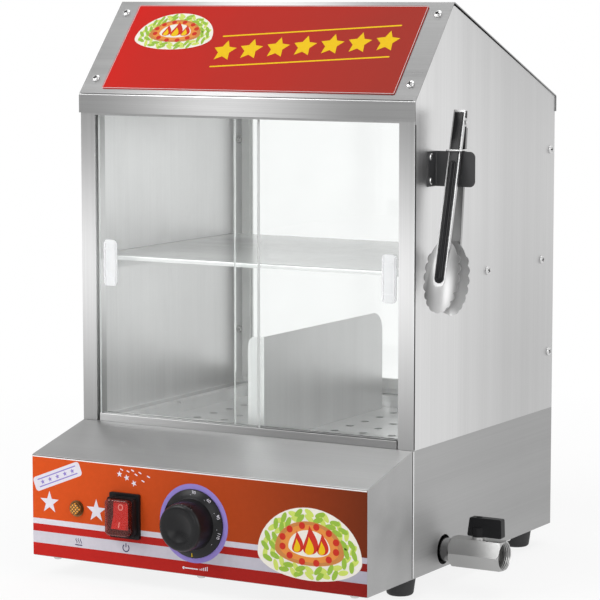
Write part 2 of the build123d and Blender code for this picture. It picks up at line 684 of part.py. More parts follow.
def lamp_body():
    """Holder of the indicator lamp: rim on the panel and barrel behind it."""
    body = bar((LAMP_X, OVERLAY_FRONT, LAMP_Z), FRONT, LAMP_RIM_R, LAMP_RIM_T)
    body += bar((LAMP_X, OVERLAY_FRONT, LAMP_Z), BACK, LAMP_BODY_R, LAMP_BODY_DEPTH)
    return body


def lamp_lens():
    """Domed amber lens on the holder's rim."""
    base = 1.2
    ball_r = (LAMP_R ** 2 + LAMP_DOME ** 2) / (2 * LAMP_DOME)
    seat = OVERLAY_FRONT - LAMP_RIM_T
    lens = bar((LAMP_X, seat, LAMP_Z), FRONT, LAMP_R, base + LAMP_DOME)
    dome = Pos(LAMP_X, seat - base - LAMP_DOME + ball_r, LAMP_Z) * Sphere(ball_r)
    return lens & dome


def switch_housing():
    """Rocker switch's frame in front of the panel and its body behind."""
    flange = Pos(SWITCH_X, CONTROL_Z) * RectangleRounded(SWITCH_W, SWITCH_H, 1.5)
    raised = Pos(SWITCH_X, CONTROL_Z) * RectangleRounded(SWITCH_RAISED_W, SWITCH_RAISED_H, 2.5)
    body = along_y(switch_cutout(), OVERLAY_FRONT, OVERLAY_FRONT + SWITCH_BODY_DEPTH)
    housing = along_y(flange, OVERLAY_FRONT - SWITCH_FLANGE_T, OVERLAY_FRONT)
    housing += along_y(raised, SWITCH_FRONT, OVERLAY_FRONT - SWITCH_FLANGE_T)
    housing += body
    well_w, well_h = ROCKER_W + 2 * ROCKER_GAP, ROCKER_H + 2 * ROCKER_GAP
    well_back = SWITCH_FRONT + ROCKER_T + ROCKER_GAP
    well = along_y(Pos(SWITCH_X, CONTROL_Z) * Rectangle(well_w, well_h), SWITCH_FRONT, well_back)
    housing -= well
    trunnion_y = SWITCH_FRONT + ROCKER_T / 2
    reach = ROCKER_W / 2 + TRUNNION_L + RUN
    return housing - bar((SWITCH_X - reach, trunnion_y, CONTROL_Z), RIGHT, TRUNNION_R + RUN, 2 * reach)


def rocker():
    """Rocker on two trunnions, its upper half pressed in; the face is a shallow V."""
    half = ROCKER_H / 2
    end, waist, belly = 0.62 * ROCKER_T, 0.42 * ROCKER_T, 0.24 * ROCKER_T
    profile = Polyline((-end, -half), (-waist, 0), (-end, half), (0, half), (belly, half / 2),
                       (belly, -half / 2), (0, -half), close=True)
    block = along_x(make_face(profile), -ROCKER_W / 2, ROCKER_W / 2)
    block += bar((-ROCKER_W / 2 - TRUNNION_L, 0, 0), RIGHT, TRUNNION_R, ROCKER_W + 2 * TRUNNION_L)
    return Pos(SWITCH_X, SWITCH_FRONT + ROCKER_T / 2, CONTROL_Z) * block.rotate(Axis.X, -ROCKER_TILT)


def switch_cover():
    """Clear flexible boot over the rocker: a shell that stands on the switch's raised part."""
    outer = Pos(SWITCH_X, CONTROL_Z) * RectangleRounded(BOOT_W, BOOT_H, BOOT_ROUND)
    inner = Pos(SWITCH_X, CONTROL_Z) * RectangleRounded(BOOT_W - 2 * BOOT_T, BOOT_H - 2 * BOOT_T,
                                                        BOOT_ROUND - BOOT_T)
    shell = along_y(outer, SWITCH_FRONT - BOOT_PROUD, SWITCH_FRONT)
    shell = fillet(shell.edges().group_by(Axis.Y)[0], BOOT_ROUND / 2)
    return shell - along_y(inner, SWITCH_FRONT - BOOT_PROUD + BOOT_T, SWITCH_FRONT)


def thermostat_body():
    """Thermostat behind the panel: square body and round boss."""
    body = span(KNOB_X - STAT_W / 2, KNOB_X + STAT_W / 2, PANEL_BACK, PANEL_BACK + STAT_DEPTH,
                CONTROL_Z - STAT_H / 2, CONTROL_Z + STAT_H / 2)
    body = fillet(body.edges().filter_by(Axis.Y), 5)
    return body - bar((KNOB_X, PANEL_BACK, CONTROL_Z), BACK, SHAFT_R + RUN, STAT_DEPTH / 2)


def thermostat_shaft():
    """Shaft with a flat for the knob."""
    start_y = KNOB_BACK - KNOB_SOCKET + FIT
    end_y = PANEL_BACK + STAT_DEPTH / 2 - FIT
    shaft = bar((KNOB_X, start_y, CONTROL_Z), BACK, SHAFT_R, end_y - start_y)
    flat = span(KNOB_X - SHAFT_R, KNOB_X + SHAFT_R, start_y, KNOB_BACK, CONTROL_Z + SHAFT_FLAT,
                CONTROL_Z + SHAFT_R)
    return shaft - flat


def control_knob():
    """Knob: a flat bevelled skirt for the dial marks and a dished grip."""
    front = SKIRT_T + GRIP_H
    dish_ball = (DISH_R ** 2 + DISH_DEPTH ** 2) / (2 * DISH_DEPTH)
    outline = make_face(Polyline((0, 0), (SKIRT_R, 0), (SKIRT_R, SKIRT_T - SKIRT_BEVEL / 2),
                                 (SKIRT_R - SKIRT_BEVEL, SKIRT_T), (GRIP_R, SKIRT_T),
                                 (GRIP_TOP_R, front), (0, front), close=True))
    body = revolve(Plane.XZ * outline, axis=Axis.Z)
    body = fillet(body.edges().group_by(Axis.Z)[-1], GRIP_ROUND)
    body -= Pos(0, 0, front + dish_ball - DISH_DEPTH) * Sphere(dish_ball)
    socket = bar((0, 0, 0), UP, SHAFT_R + RUN, KNOB_SOCKET)
    socket -= span(-SHAFT_R - 1, SHAFT_R + 1, SHAFT_FLAT + RUN, SHAFT_R + 1, 0, KNOB_SOCKET)
    body -= socket
    return Plane(origin=(KNOB_X, KNOB_BACK, CONTROL_Z), x_dir=RIGHT, z_dir=FRONT).location * body


def thermostat_bulb():
    """Sensing bulb against the tank's front wall, with its capillary to the thermostat."""
    bulb_y = TANK_FRONT - BULB_R
    bulb_z = Z_BASE + BULB_HEIGHT
    pass_x = ELEMENT_SPACING / 3
    bulb_x = pass_x + 2 * CAPILLARY_BEND + BULB_R
    start = (KNOB_X + STAT_W / 4, PANEL_BACK + STAT_DEPTH, CONTROL_Z + STAT_H / 4)
    lead = (start[0], start[1] + CAPILLARY_LEAD, start[2])
    path = FilletPolyline(start, lead, (pass_x, -CAPILLARY_LEAD, bulb_z), (pass_x, bulb_y, bulb_z),
                          (bulb_x, bulb_y, bulb_z), radius=CAPILLARY_BEND)
    line = sweep(Plane(origin=start, z_dir=BACK) * Circle(CAPILLARY_R), path=path)
    return line + bar((bulb_x, bulb_y, bulb_z), RIGHT, BULB_R, BULB_LENGTH)


# ---------------------------------------------------------------- drain valve
def drain_pipe():
    """Pipe welded to the tank's wall by a collar and screwed into the valve."""
    end = VALVE_X0 + THREAD_DEPTH - FIT
    start = TANK_HALF - SHEET
    pipe = bar((start, DRAIN_Y, DRAIN_Z), RIGHT, PIPE_R, end - start)
    pipe += bar((TANK_HALF, DRAIN_Y, DRAIN_Z), RIGHT, COLLAR_R, COLLAR_T)
    return pipe - bar((start, DRAIN_Y, DRAIN_Z), RIGHT, PIPE_BORE_R, end - start)


def valve_body():
    """Hexagonal ball valve body with turned shoulders, both threaded ends and the ball's chamber."""
    corner = VALVE_FLATS / sqrt(3)
    start = (VALVE_X0, DRAIN_Y, DRAIN_Z)
    body = hex_bar(start, RIGHT, corner, VALVE_LENGTH)
    turned = bar(start, RIGHT, corner, VALVE_LENGTH)
    turned = chamfer(turned.edges().filter_by(GeomType.CIRCLE), VALVE_SHOULDER)
    body &= turned
    body += bar((BALL_X, DRAIN_Y, DRAIN_Z), UP, NECK_R, VALVE_FLATS / 2 + NECK_H)
    chamber = BALL_R + SEAT_T / 2
    body -= bar(start, RIGHT, PIPE_R + RUN, THREAD_DEPTH)
    body -= bar(start, RIGHT, FLOW_R, VALVE_LENGTH)
    body -= bar((VALVE_X1, DRAIN_Y, DRAIN_Z), LEFT, OUTLET_R, OUTLET_DEPTH)
    body -= bar((BALL_X - chamber, DRAIN_Y, DRAIN_Z), RIGHT, BALL_R + RUN, 2 * chamber)
    body -= bar((BALL_X, DRAIN_Y, DRAIN_Z), UP, STEM_R + RUN, VALVE_FLATS)
    return body


def valve_seats():
    """Two seat rings that carry the ball."""
    seats = []
    for axis in (LEFT, RIGHT):
        ring = tube((BALL_X + axis[0] * (BALL_R - SEAT_T / 2), DRAIN_Y, DRAIN_Z), axis, BALL_R, FLOW_R, SEAT_T)
        seats.append(ring - Pos(BALL_X, DRAIN_Y, DRAIN_Z) * Sphere(BALL_R + RUN))
    return seats


def valve_ball():
    """Ball with its bore along the pipe and a slot for the stem."""
    half = sqrt(BALL_R ** 2 - FLOW_R ** 2)
    arc = ThreePointArc((-half, FLOW_R), (0, BALL_R), (half, FLOW_R))
    ring = make_face(arc + Line((half, FLOW_R), (-half, FLOW_R)))
    ball = revolve(Plane.XY * ring, axis=Axis.X)
    slot = STEM_R + FIT
    ball -= span(-slot, slot, -STEM_R / 3, STEM_R / 3, FLOW_R, BALL_R)
    return Pos(BALL_X, DRAIN_Y, DRAIN_Z) * ball


def valve_stem():
    """Stem from the ball's slot up into the lever."""
    foot = BALL_R + FIT
    top = VALVE_FLATS / 2 + NECK_H + STEM_SOCKET
    stem = bar((0, 0, foot), UP, STEM_R, top - foot)
    stem += span(-STEM_R, STEM_R, -STEM_R / 3 + RUN, STEM_R / 3 - RUN, FLOW_R + FIT, foot)
    stem = stem & bar((0, 0, 0), UP, STEM_R, top)
    stem -= bar((0, 0, top), DOWN, LEVER_SCREW_R + RUN, STEM_SOCKET)
    return Pos(BALL_X, DRAIN_Y, DRAIN_Z) * stem


def valve_lever():
    """Moulded lever: a thin upright wing on a round hub, parallel to the pipe when open."""
    x0, x1 = -LEVER_BACK, LEVER_LENGTH - LEVER_BACK
    wing = make_face(Polyline((x0, FIT), (x1, FIT), (x1 - LEVER_LEAN / 4, LEVER_HEIGHT),
                              (x0 + LEVER_LEAN, LEVER_HEIGHT), close=True))
    wing = fillet(wing.vertices(), LEVER_CORNER)
    lever = along_y(wing, -LEVER_THICKNESS / 2, LEVER_THICKNESS / 2)
    lever += bar((0, 0, FIT), UP, HUB_R, HUB_H)
    lever -= bar((0, 0, 0), UP, STEM_R + RUN, STEM_SOCKET)
    lever -= bar((0, 0, 0), UP, LEVER_SCREW_R + RUN, LEVER_HEIGHT)
    lever -= bar((0, 0, LEVER_HEIGHT), DOWN, LEVER_SCREW_HEAD_R + RUN, LEVER_HEIGHT / 3)
    return Pos(BALL_X, DRAIN_Y, LEVER_Z) * lever


def lever_screw():
    """Screw in the lever's counterbore."""
    seat = (BALL_X, DRAIN_Y, LEVER_Z + LEVER_HEIGHT * 2 / 3)
    reach = LEVER_HEIGHT * 2 / 3 - STEM_SOCKET / 3
    return pan_screw(seat, UP, reach, LEVER_SCREW_HEAD_R, LEVER_SCREW_R)


# ---------------------------------------------------------------- cabinet
def roof_height(y, depth):
    """Height of a line parallel to the roof, depth below its outer face."""
    front = Z_EAVES + y * tan(FRONT_PITCH) - depth / cos(FRONT_PITCH)
    rear = Z_REAR_EAVES + (CABINET_DEPTH - y) * tan(REAR_PITCH) - depth / cos(REAR_PITCH)
    return min(front, rear)


def ridge_point(depth):
    """Top of a line parallel to the roof, depth below its outer face."""
    front_at_0 = Z_EAVES - depth / cos(FRONT_PITCH)
    rear_at_0 = Z_REAR_EAVES + CABINET_DEPTH * tan(REAR_PITCH) - depth / cos(REAR_PITCH)
    y = (rear_at_0 - front_at_0) / (tan(FRONT_PITCH) + tan(REAR_PITCH))
    return (y, front_at_0 + y * tan(FRONT_PITCH))


def gable(y0, y1, z0, depth):
    """Gable outline in (Y, Z) between two upright edges, its peak cut level."""
    peak_y = ridge_point(depth)[0]
    left, right = peak_y - RIDGE_FLAT, peak_y + RIDGE_FLAT
    level = min(roof_height(left, depth), roof_height(right, depth))
    return make_face(Polyline((y0, z0), (y1, z0), (y1, roof_height(y1, depth)), (right, level),
                              (left, level), (y0, roof_height(y0, depth)), close=True))


def side_panel_right():
    """Gable wall with flanges turned in at its foot, front and slopes."""
    y0 = SHEET + FIT
    under_roof = SHEET + RUN
    panel = along_x(gable(y0, CABINET_DEPTH, Z_DECK, under_roof), INNER_W - PANEL_FLANGE, HALF_W)
    hollow = gable(y0 + SHEET, CABINET_DEPTH, Z_DECK + SHEET, under_roof + SHEET)
    panel -= along_x(hollow, INNER_W - PANEL_FLANGE, INNER_W)
    rear = CABINET_DEPTH - REAR_RETURN - SHEET
    panel -= span(INNER_W - PANEL_FLANGE, INNER_W, rear, CABINET_DEPTH, Z_DECK, Z_DECK + SHEET)
    rail, edge = side_screw_places()
    for y, z in rail + edge:
        panel -= bar((INNER_W - 1, y, z), RIGHT, SCREW_R + RUN, SHEET + 2)
    for seat, axis in roof_screw_places():
        panel -= Plane(origin=seat, z_dir=axis).location * bar((0, 0, 0), DOWN, SCREW_R + RUN, SCREW_REACH)
    for y, z in rivet_places():
        panel -= bar((INNER_W - 1, y, z), RIGHT, RIVET_R + RUN, SHEET + 2)
    return panel


def side_panel_left():
    """Mirror of the right wall, without the tongs holder's rivet holes."""
    panel = mirrored(side_panel_right())
    for y, z in rivet_places():
        panel += bar((-INNER_W, y, z), LEFT, RIVET_R + RUN, SHEET)
    return panel


def front_frame():
    """Folded front frame: two posts with jambs and a header with a return above the door track."""
    top = roof_height(0, 2 * SHEET)
    frame = span(-HALF_W, HALF_W, 0, SHEET, Z_DECK, top)
    frame -= span(-OPENING_HALF, OPENING_HALF, 0, SHEET, Z_DECK, Z_OPENING)
    return_z = Z_OPENING + TRACK_HEADROOM
    for side in (-1, 1):
        x0, x1 = sorted((side * OPENING_HALF, side * (OPENING_HALF + SHEET)))
        frame += span(x0, x1, 0, JAMB_DEPTH, Z_DECK, return_z)
    x = OPENING_HALF + SHEET
    frame += span(-x, x, 0, JAMB_DEPTH, return_z, return_z + SHEET)
    return frame


def rear_frame():
    """Folded rear frame round the rear window, with returns screwed to the side panels."""
    x = INNER_W - FIT
    y0 = CABINET_DEPTH - SHEET
    frame = span(-x, x, y0, CABINET_DEPTH, Z_DECK, REAR_FRAME_TOP)
    frame -= span(-OPENING_HALF, OPENING_HALF, y0, CABINET_DEPTH, Z_DECK + REAR_SILL, Z_OPENING)
    for side in (-1, 1):
        x0, x1 = sorted((side * x, side * (x - SHEET)))
        frame += span(x0, x1, CABINET_DEPTH - REAR_RETURN, y0, Z_DECK, REAR_FRAME_TOP)
    for y, z in side_screw_places()[1]:
        for side in (-1, 1):
            frame -= bar((side * (INNER_W + 1), y, z), (-side, 0, 0), SCREW_R + RUN, SHEET + 2)
    return frame


def roof():
    """One folded sheet: front fascia, two slopes and a rear fascia."""
    half = SHEET / 2
    front_y, rear_y = -FIT - half, CABINET_DEPTH + FIT + half
    middle = [(front_y, Z_EAVES - FASCIA), (front_y, roof_height(front_y, half)), ridge_point(half),
              (rear_y, roof_height(rear_y, half)), (rear_y, Z_REAR_EAVES - REAR_FASCIA)]
    sheet = along_x(bent_strip(middle, SHEET), -HALF_W - ROOF_OVERHANG, HALF_W + ROOF_OVERHANG)
    for seat, axis in roof_screw_places():
        hole = Plane(origin=seat, z_dir=axis).location * bar((0, 0, 0), DOWN, SCREW_R + RUN, 2 * SHEET)
        sheet -= hole
        sheet -= mirrored(hole)
    return sheet


def slope_place(x, along, rear=False):
    """Point on the roof's outer face and the way out of it."""
    pitch = REAR_PITCH if rear else FRONT_PITCH
    y = CABINET_DEPTH - along * cos(pitch) if rear else along * cos(pitch)
    normal = (0, sin(pitch), cos(pitch)) if rear else (0, -sin(pitch), cos(pitch))
    return (x, y, roof_height(y, 0)), normal


def roof_screw_places():
    """Screws on the right edge of both slopes."""
    x = HALF_W - ROOF_SCREW_INSET
    return [slope_place(x, along, rear) for rear in (False, True) for along in ROOF_SCREWS]


def panel_screws():
    """Pan-head screws: through both side panels, and through the roof into their flanges."""
    rail, edge = side_screw_places()
    reach = 2 * SHEET + FIT + NUT_H + SCREW_TIP
    screws = []
    for y, z in rail + edge:
        screws += both_sides(pan_screw((HALF_W, y, z), RIGHT, reach))
    for seat, axis in roof_screw_places():
        screw = Plane(origin=seat, z_dir=axis).location * pan_screw((0, 0, 0), UP, SCREW_REACH)
        screws += both_sides(screw)
    return screws


def sign_panel():
    """Thin sign plate on the front slope."""
    width = WIDTH - 2 * SIGN_MARGIN
    plate = extrude(RectangleRounded(width, SIGN_HIGH - SIGN_LOW, SIGN_CORNER), amount=SIGN_T)
    seat, axis = slope_place(0, (SIGN_LOW + SIGN_HIGH) / 2)
    return Plane(origin=seat, x_dir=RIGHT, z_dir=axis).location * plate


def track_section(fin_height, upward):
    """Section of the two-groove door track in (Y, Z), from its web's outer face."""
    way = 1 if upward else -1
    low, high = sorted((0, way * FIN))
    section = rect_at(TRACK_START, TRACK_START + TRACK_DEPTH, low, high)
    for step in range(3):
        y0 = TRACK_START + step * (FIN + GROOVE)
        low, high = sorted((0, way * fin_height))
        section += rect_at(y0, y0 + FIN, low, high)
    return section


def lower_track():
    """Lower door track on the deck."""
    length = OPENING_HALF - 2 * FIT - DOOR_SIDE_GAP
    return along_x(Pos(0, Z_DECK) * track_section(LOWER_FIN_H, True), -length, length)


def upper_track():
    """Upper door track under the header's return."""
    length = OPENING_HALF - FIT
    top = Z_OPENING + TRACK_HEADROOM
    return along_x(Pos(0, top) * track_section(UPPER_FIN_H, False), -length, length)


def door_glass(x0, groove):
    """Door pane standing in one groove of the tracks."""
    pane = span(x0, x0 + DOOR_W, groove - GLASS / 2, groove + GLASS / 2, DOOR_Z0, DOOR_Z1)
    return chamfer(pane.edges().filter_by(Axis.Z), GLASS / 8)


def door_glass_left():
    """Left door, in the front groove."""
    return door_glass(-OPENING_HALF + DOOR_SIDE_GAP, FRONT_GROOVE)


def door_glass_right():
    """Right door, in the rear groove."""
    return door_glass(OPENING_HALF - DOOR_SIDE_GAP - DOOR_W, REAR_GROOVE)


def door_handle(x0, groove):
    """Shallow moulded pull: a frame round a finger dish, stuck to the pane."""
    face = groove - GLASS / 2
    middle = Pos(x0 + HANDLE_W / 2, Z_DECK + HANDLE_HEIGHT)
    block = along_y(middle * RectangleRounded(HANDLE_W, HANDLE_H, 3), face - HANDLE_T, face)
    block = chamfer(block.edges().group_by(Axis.Y)[0], HANDLE_T / 4)
    dish = middle * RectangleRounded(HANDLE_W * 0.45, HANDLE_H * 0.86, HANDLE_W * 0.2)
    return block - along_y(dish, face - HANDLE_T, face - HANDLE_T / 4)


def door_handle_left():
    """Pull near the left door's outer edge."""
    return door_handle(-OPENING_HALF + DOOR_SIDE_GAP + HANDLE_INSET, FRONT_GROOVE)


def door_handle_right():
    """Pull near the right door's outer edge."""
    return door_handle(OPENING_HALF - DOOR_SIDE_GAP - HANDLE_INSET - HANDLE_W, REAR_GROOVE)


def window_frame(grow, y0, y1):
    """Block as large as the rear window plus a growth on each edge."""
    x = OPENING_HALF + SEAL_LAP + grow
    low = Z_DECK + REAR_SILL - SEAL_LAP - grow
    return span(-x, x, y0, y1, low, Z_OPENING + SEAL_LAP + grow)


def rear_glass():
    """Fixed rear window."""
    y1 = CABINET_DEPTH - SHEET - SEAL_T
    return window_frame(0, y1 - GLASS, y1)


def rear_seal():
    """Rubber channel round the rear window, stuck to the rear frame."""
    y1 = CABINET_DEPTH - SHEET
    ring = window_frame(SEAL_EDGE, y1 - 2 * SEAL_T - GLASS, y1)
    ring -= window_frame(-SEAL_LAP, y1 - 2 * SEAL_T - GLASS, y1)
    return ring - rear_glass()


def shelf_rails():
    """Angle rails screwed to the side panels."""
    z1 = SHELF_Z - SHEET
    length = (SHELF_FRONT, SHELF_REAR)
    leg = span(INNER_W - SHEET, INNER_W, *length, z1 - RAIL_LEG, z1)
    leg += span(INNER_W - RAIL_LEG, INNER_W, *length, z1 - SHEET, z1)
    for y, z in side_screw_places()[0]:
        leg -= bar((INNER_W - 2, y, z), RIGHT, SCREW_R + RUN, SHEET + 2)
    return both_sides(leg)


def bun_shelf():
    """Plain shelf with hemmed front and rear lips, loose on the rails."""
    x = INNER_W - SHEET
    y0, y1 = SHELF_FRONT, SHELF_REAR
    half = SHEET / 2
    strip = [(y0 + half, SHELF_Z - SHELF_LIP), (y0 + half, SHELF_Z - half), (y1 - half, SHELF_Z - half),
             (y1 - half, SHELF_Z - SHELF_LIP)]
    shelf = along_x(trace(FilletPolyline(*strip, radius=SHEET), SHEET), -x, x)
    notch_x = INNER_W - RAIL_LEG - FIT
    for side in (-1, 1):
        x0, x1 = sorted((side * notch_x, side * INNER_W))
        shelf -= span(x0, x1, y0 - 1, y1 + 1, SHELF_Z - SHELF_LIP - 1, SHELF_Z - SHEET)
    return shelf


def tray_inside():
    """Outline of the tray's inside."""
    x = DECK_HOLE_HALF - TRAY_CLEAR - SHEET
    y0, y1 = DECK_HOLE_FRONT + TRAY_CLEAR + SHEET, DECK_HOLE_REAR - TRAY_CLEAR - SHEET
    return fillet(rect_at(-x, x, y0, y1).vertices(), TRAY_CORNER - TRAY_CLEAR - SHEET)


def tray_frame():
    """Frame of the hot dog tray: four low walls hung by a rim in the deck's opening."""
    x, y0, y1 = DECK_HOLE_HALF - TRAY_CLEAR, DECK_HOLE_FRONT + TRAY_CLEAR, DECK_HOLE_REAR - TRAY_CLEAR
    corner = TRAY_CORNER - TRAY_CLEAR
    outer = fillet(rect_at(-x, x, y0, y1).vertices(), corner)
    rim = fillet(rect_at(-x - TRAY_RIM, x + TRAY_RIM, y0 - TRAY_RIM, y1 + TRAY_RIM).vertices(), corner)
    frame = along_z(outer, TRAY_Z - SHEET, Z_DECK + SHEET) + along_z(rim, Z_DECK, Z_DECK + SHEET)
    return frame - along_z(tray_inside(), TRAY_Z - SHEET, Z_DECK + SHEET)


def tray_floor():
    """Perforated floor welded into the tray's frame."""
    floor = tray_inside()
    box = floor.bounding_box()
    pitch_x, pitch_y = box.size.X / (TRAY_COLUMNS + 1), box.size.Y / (TRAY_ROWS + 1)
    holes = [Pos(box.min.X + (i + 1) * pitch_x, box.min.Y + (j + 1) * pitch_y) * Circle(TRAY_HOLE_R)
             for i in range(TRAY_COLUMNS) for j in range(TRAY_ROWS)]
    return along_z(floor - holes, TRAY_Z - SHEET, TRAY_Z)


def divider():
    """Upright divider on the tray, with a stiffening flange at its front edge."""
    z0, z1 = TRAY_Z, TRAY_Z + DIVIDER_HEIGHT
    y1 = DIVIDER_FRONT + DIVIDER_LENGTH
    blade = rect_at(DIVIDER_FRONT, y1, z0, z1)
    blade = fillet(blade.vertices().group_by(Axis.X)[-1].sort_by(Axis.Y)[-1:], DIVIDER_CORNER)
    plate = along_x(blade, DIVIDER_X - SHEET, DIVIDER_X)
    flange = rect_at(DIVIDER_X - DIVIDER_FLANGE, DIVIDER_X, z0, z1)
    flange = fillet(flange.vertices().group_by(Axis.X)[0].sort_by(Axis.Y)[-1:], DIVIDER_FLANGE / 2)
    return plate + along_y(flange, DIVIDER_FRONT, DIVIDER_FRONT + SHEET)


# ---------------------------------------------------------------- tongs and holder
def rivet_places():
    """Rivets of the tongs holder on the right side panel, as (Y, Z)."""
    y = HOLDER_Y + HOLDER_SHEET - HOLDER_FLANGE + RIVET_INSET
    return [(y, HOLDER_Z + RIVET_INSET), (y, HOLDER_TOP - RIVET_INSET)]


def tongs_holder():
    """Angle bracket: a flange on the side panel and a blade that stands out from it."""
    half = HOLDER_SHEET / 2
    blade_y = HOLDER_Y + half
    wall_x = HALF_W + half
    strip = trace(FilletPolyline((wall_x, HOLDER_Y + HOLDER_SHEET - HOLDER_FLANGE), (wall_x, blade_y),
                                 (HALF_W + HOLDER_REACH, blade_y), radius=BEND), HOLDER_SHEET)
    holder = along_z(strip, HOLDER_Z, HOLDER_TOP)
    tips = holder.edges().filter_by(Axis.Y).group_by(Axis.X)[-1]
    holder = fillet(tips, HOLDER_CORNER)
    for y, z in rivet_places():
        holder -= bar((HALF_W - 1, y, z), RIGHT, RIVET_R + RUN, HOLDER_SHEET + 2)
    return holder


def holder_rivets():
    """Blind rivets through the holder's flange and the side panel."""
    rivets = []
    for y, z in rivet_places():
        seat = (HALF_W + HOLDER_SHEET, y, z)
        head = bar(seat, RIGHT, RIVET_HEAD_R, RIVET_HEAD_H)
        head = chamfer(head.edges().group_by(Axis.X)[-1], RIVET_HEAD_H / 2)
        tail = bar((INNER_W - RIVET_HEAD_H, y, z), RIGHT, RIVET_HEAD_R * 0.8, RIVET_HEAD_H)
        rivets.append(head + bar(seat, LEFT, RIVET_R, HOLDER_SHEET + SHEET) + tail)
    return rivets


def scoop():
    """Bowl of one arm: a bowed shell with a scalloped edge. Local frame: X across, Y outward,
    Z up from the pin."""
    middle = -(SCOOP_START + SCOOP_LENGTH / 2)
    axis_y = ARM_DEPTH - SCOOP_ROUND
    reach = SCOOP_LENGTH / 2 + 2 * SCALLOP_R

    def bow(radius):
        """Barrel whose widest radius is given."""
        sag = SCOOP_BOW - sqrt(SCOOP_BOW ** 2 - reach ** 2)
        edge = make_face(ThreePointArc((radius - sag, -reach), (radius, 0), (radius - sag, reach))
                         + Polyline((radius - sag, reach), (0, reach), (0, -reach), (radius - sag, -reach)))
        return revolve(Plane.XZ * edge, axis=Axis.Z)

    shell = Pos(0, axis_y, middle) * (bow(SCOOP_ROUND) - bow(SCOOP_ROUND - ARM_SHEET))
    half_w, half_l = SCOOP_HALF - SCALLOP_R / 2, SCOOP_LENGTH / 2 - SCALLOP_R / 2
    outline = Ellipse(half_w, half_l)
    for step in range(SCALLOPS):
        turn = radians(-90 + (step - (SCALLOPS - 1) / 2) * 240 / (SCALLOPS - 1))
        inset = SCALLOP_R / 2
        outline += Pos((half_w - inset) * cos(turn), (half_l - inset) * sin(turn)) * Circle(SCALLOP_R)
    cutter = along_y(Pos(0, middle) * outline, axis_y, axis_y + 2 * SCOOP_ROUND)
    return shell & cutter


def arm_blank():
    """Channel, rounded foot and scoop of one arm, in the arm's local frame."""
    half = ARM_W / 2
    back = rect_at(-half, half, -ARM_LENGTH + half, ARM_HEAD) + Pos(0, -ARM_LENGTH + half) * Circle(half)
    blank = along_y(back, ARM_DEPTH - ARM_SHEET, ARM_DEPTH)
    for side in (-1, 1):
        x0, x1 = sorted((side * half, side * (half - ARM_SHEET)))
        blank += span(x0, x1, 0, ARM_DEPTH, -SCOOP_START - SCOOP_LENGTH / 6, ARM_HEAD)
    return blank + scoop()


def place_arm(shape, side):
    """Move a shape from the arm's local frame to the front (-1) or rear (1) arm."""
    placed = Pos(0, ARM_OFFSET, 0) * shape
    placed = placed.rotate(Axis.X, TONGS_SPREAD)
    if side < 0:
        placed = mirror(placed, about=Plane.XZ)
    return Pos(TONGS_X, TONGS_Y, TONGS_Z) * placed.rotate(Axis.X, -TONGS_LEAN)


def ears(outer_x, radius):
    """Two ears round the pin, outer_x from the middle, in the arm's local frame."""
    pair = None
    for side in (-1, 1):
        x0, x1 = sorted((side * outer_x, side * (outer_x - ARM_SHEET)))
        ear = bar((x0, -ARM_OFFSET, 0), RIGHT, radius, ARM_SHEET)
        ear += span(x0, x1, -ARM_OFFSET, ARM_DEPTH - ARM_SHEET / 2, -radius, radius)
        pair = ear if pair is None else pair + ear
    return pair


def pin_hole():
    """Hole through an arm's ears for the tongs' pin."""
    return bar((-ARM_W, -ARM_OFFSET, 0), RIGHT, TONGS_PIN_R + RUN, 2 * ARM_W)


def tongs_arm_front():
    """Front arm, whose ears lie outside the rear arm's."""
    half = ARM_W / 2
    blank = arm_blank() - span(-half, half, -1, ARM_DEPTH - ARM_SHEET, EAR_R, ARM_HEAD)
    blank -= span(-half, half, -1, ARM_DEPTH - ARM_SHEET, -EAR_R, EAR_R)
    return place_arm(blank + ears(half, EAR_R) - pin_hole(), -1)


def tongs_arm_rear():
    """Rear arm, narrower at its head, whose ears lie inside the front arm's."""
    half = ARM_W / 2
    inner = half - ARM_SHEET - FIT
    radius = ARM_OFFSET + ARM_DEPTH - ARM_SHEET - FIT
    reach = EAR_R + 3 * FIT
    blank = arm_blank() - span(-half, half, -1, ARM_DEPTH - ARM_SHEET, -reach, ARM_HEAD)
    for side in (-1, 1):
        x0, x1 = sorted((side * half, side * inner))
        blank -= span(x0, x1, -1, ARM_DEPTH + 1, -reach, ARM_HEAD)
    return place_arm(blank + ears(inner, radius) - pin_hole(), 1)


def grip_strip(side):
    """Black grip strip on an arm's outer face."""
    half = GRIP_STRIP_W / 2
    face = rect_at(-half, half, -GRIP_STRIP_END + half, GRIP_STRIP_TOP)
    face += Pos(0, -GRIP_STRIP_END + half) * Circle(half)
    strip = along_y(face, ARM_DEPTH, ARM_DEPTH + GRIP_STRIP_T)
    return place_arm(strip, side)


def tongs_grip_front():
    """Grip of the front arm."""
    return grip_strip(-1)


def tongs_grip_rear():
    """Grip of the rear arm."""
    return grip_strip(1)


def tongs_pin():
    """Pin of the tongs with two small heads."""
    half = ARM_W / 2 + FIT
    pin = bar((-half, 0, 0), RIGHT, TONGS_PIN_R, 2 * half)
    for x, axis in ((half, RIGHT), (-half, LEFT)):
        pin += bar((x, 0, 0), axis, TONGS_PIN_R * 1.6, ARM_SHEET)
    return Pos(TONGS_X, TONGS_Y, TONGS_Z) * pin


def tongs_spring():
    """Coil spring round the pin, between the ears."""
    inner = TONGS_PIN_R + FIT
    length = ARM_W / 2 - 2 * ARM_SHEET - 2 * FIT
    coil = tube((-length, 0, 0), RIGHT, inner + 2 * SPRING_WIRE_R, inner, 2 * length)
    return Pos(TONGS_X, TONGS_Y, TONGS_Z) * coil


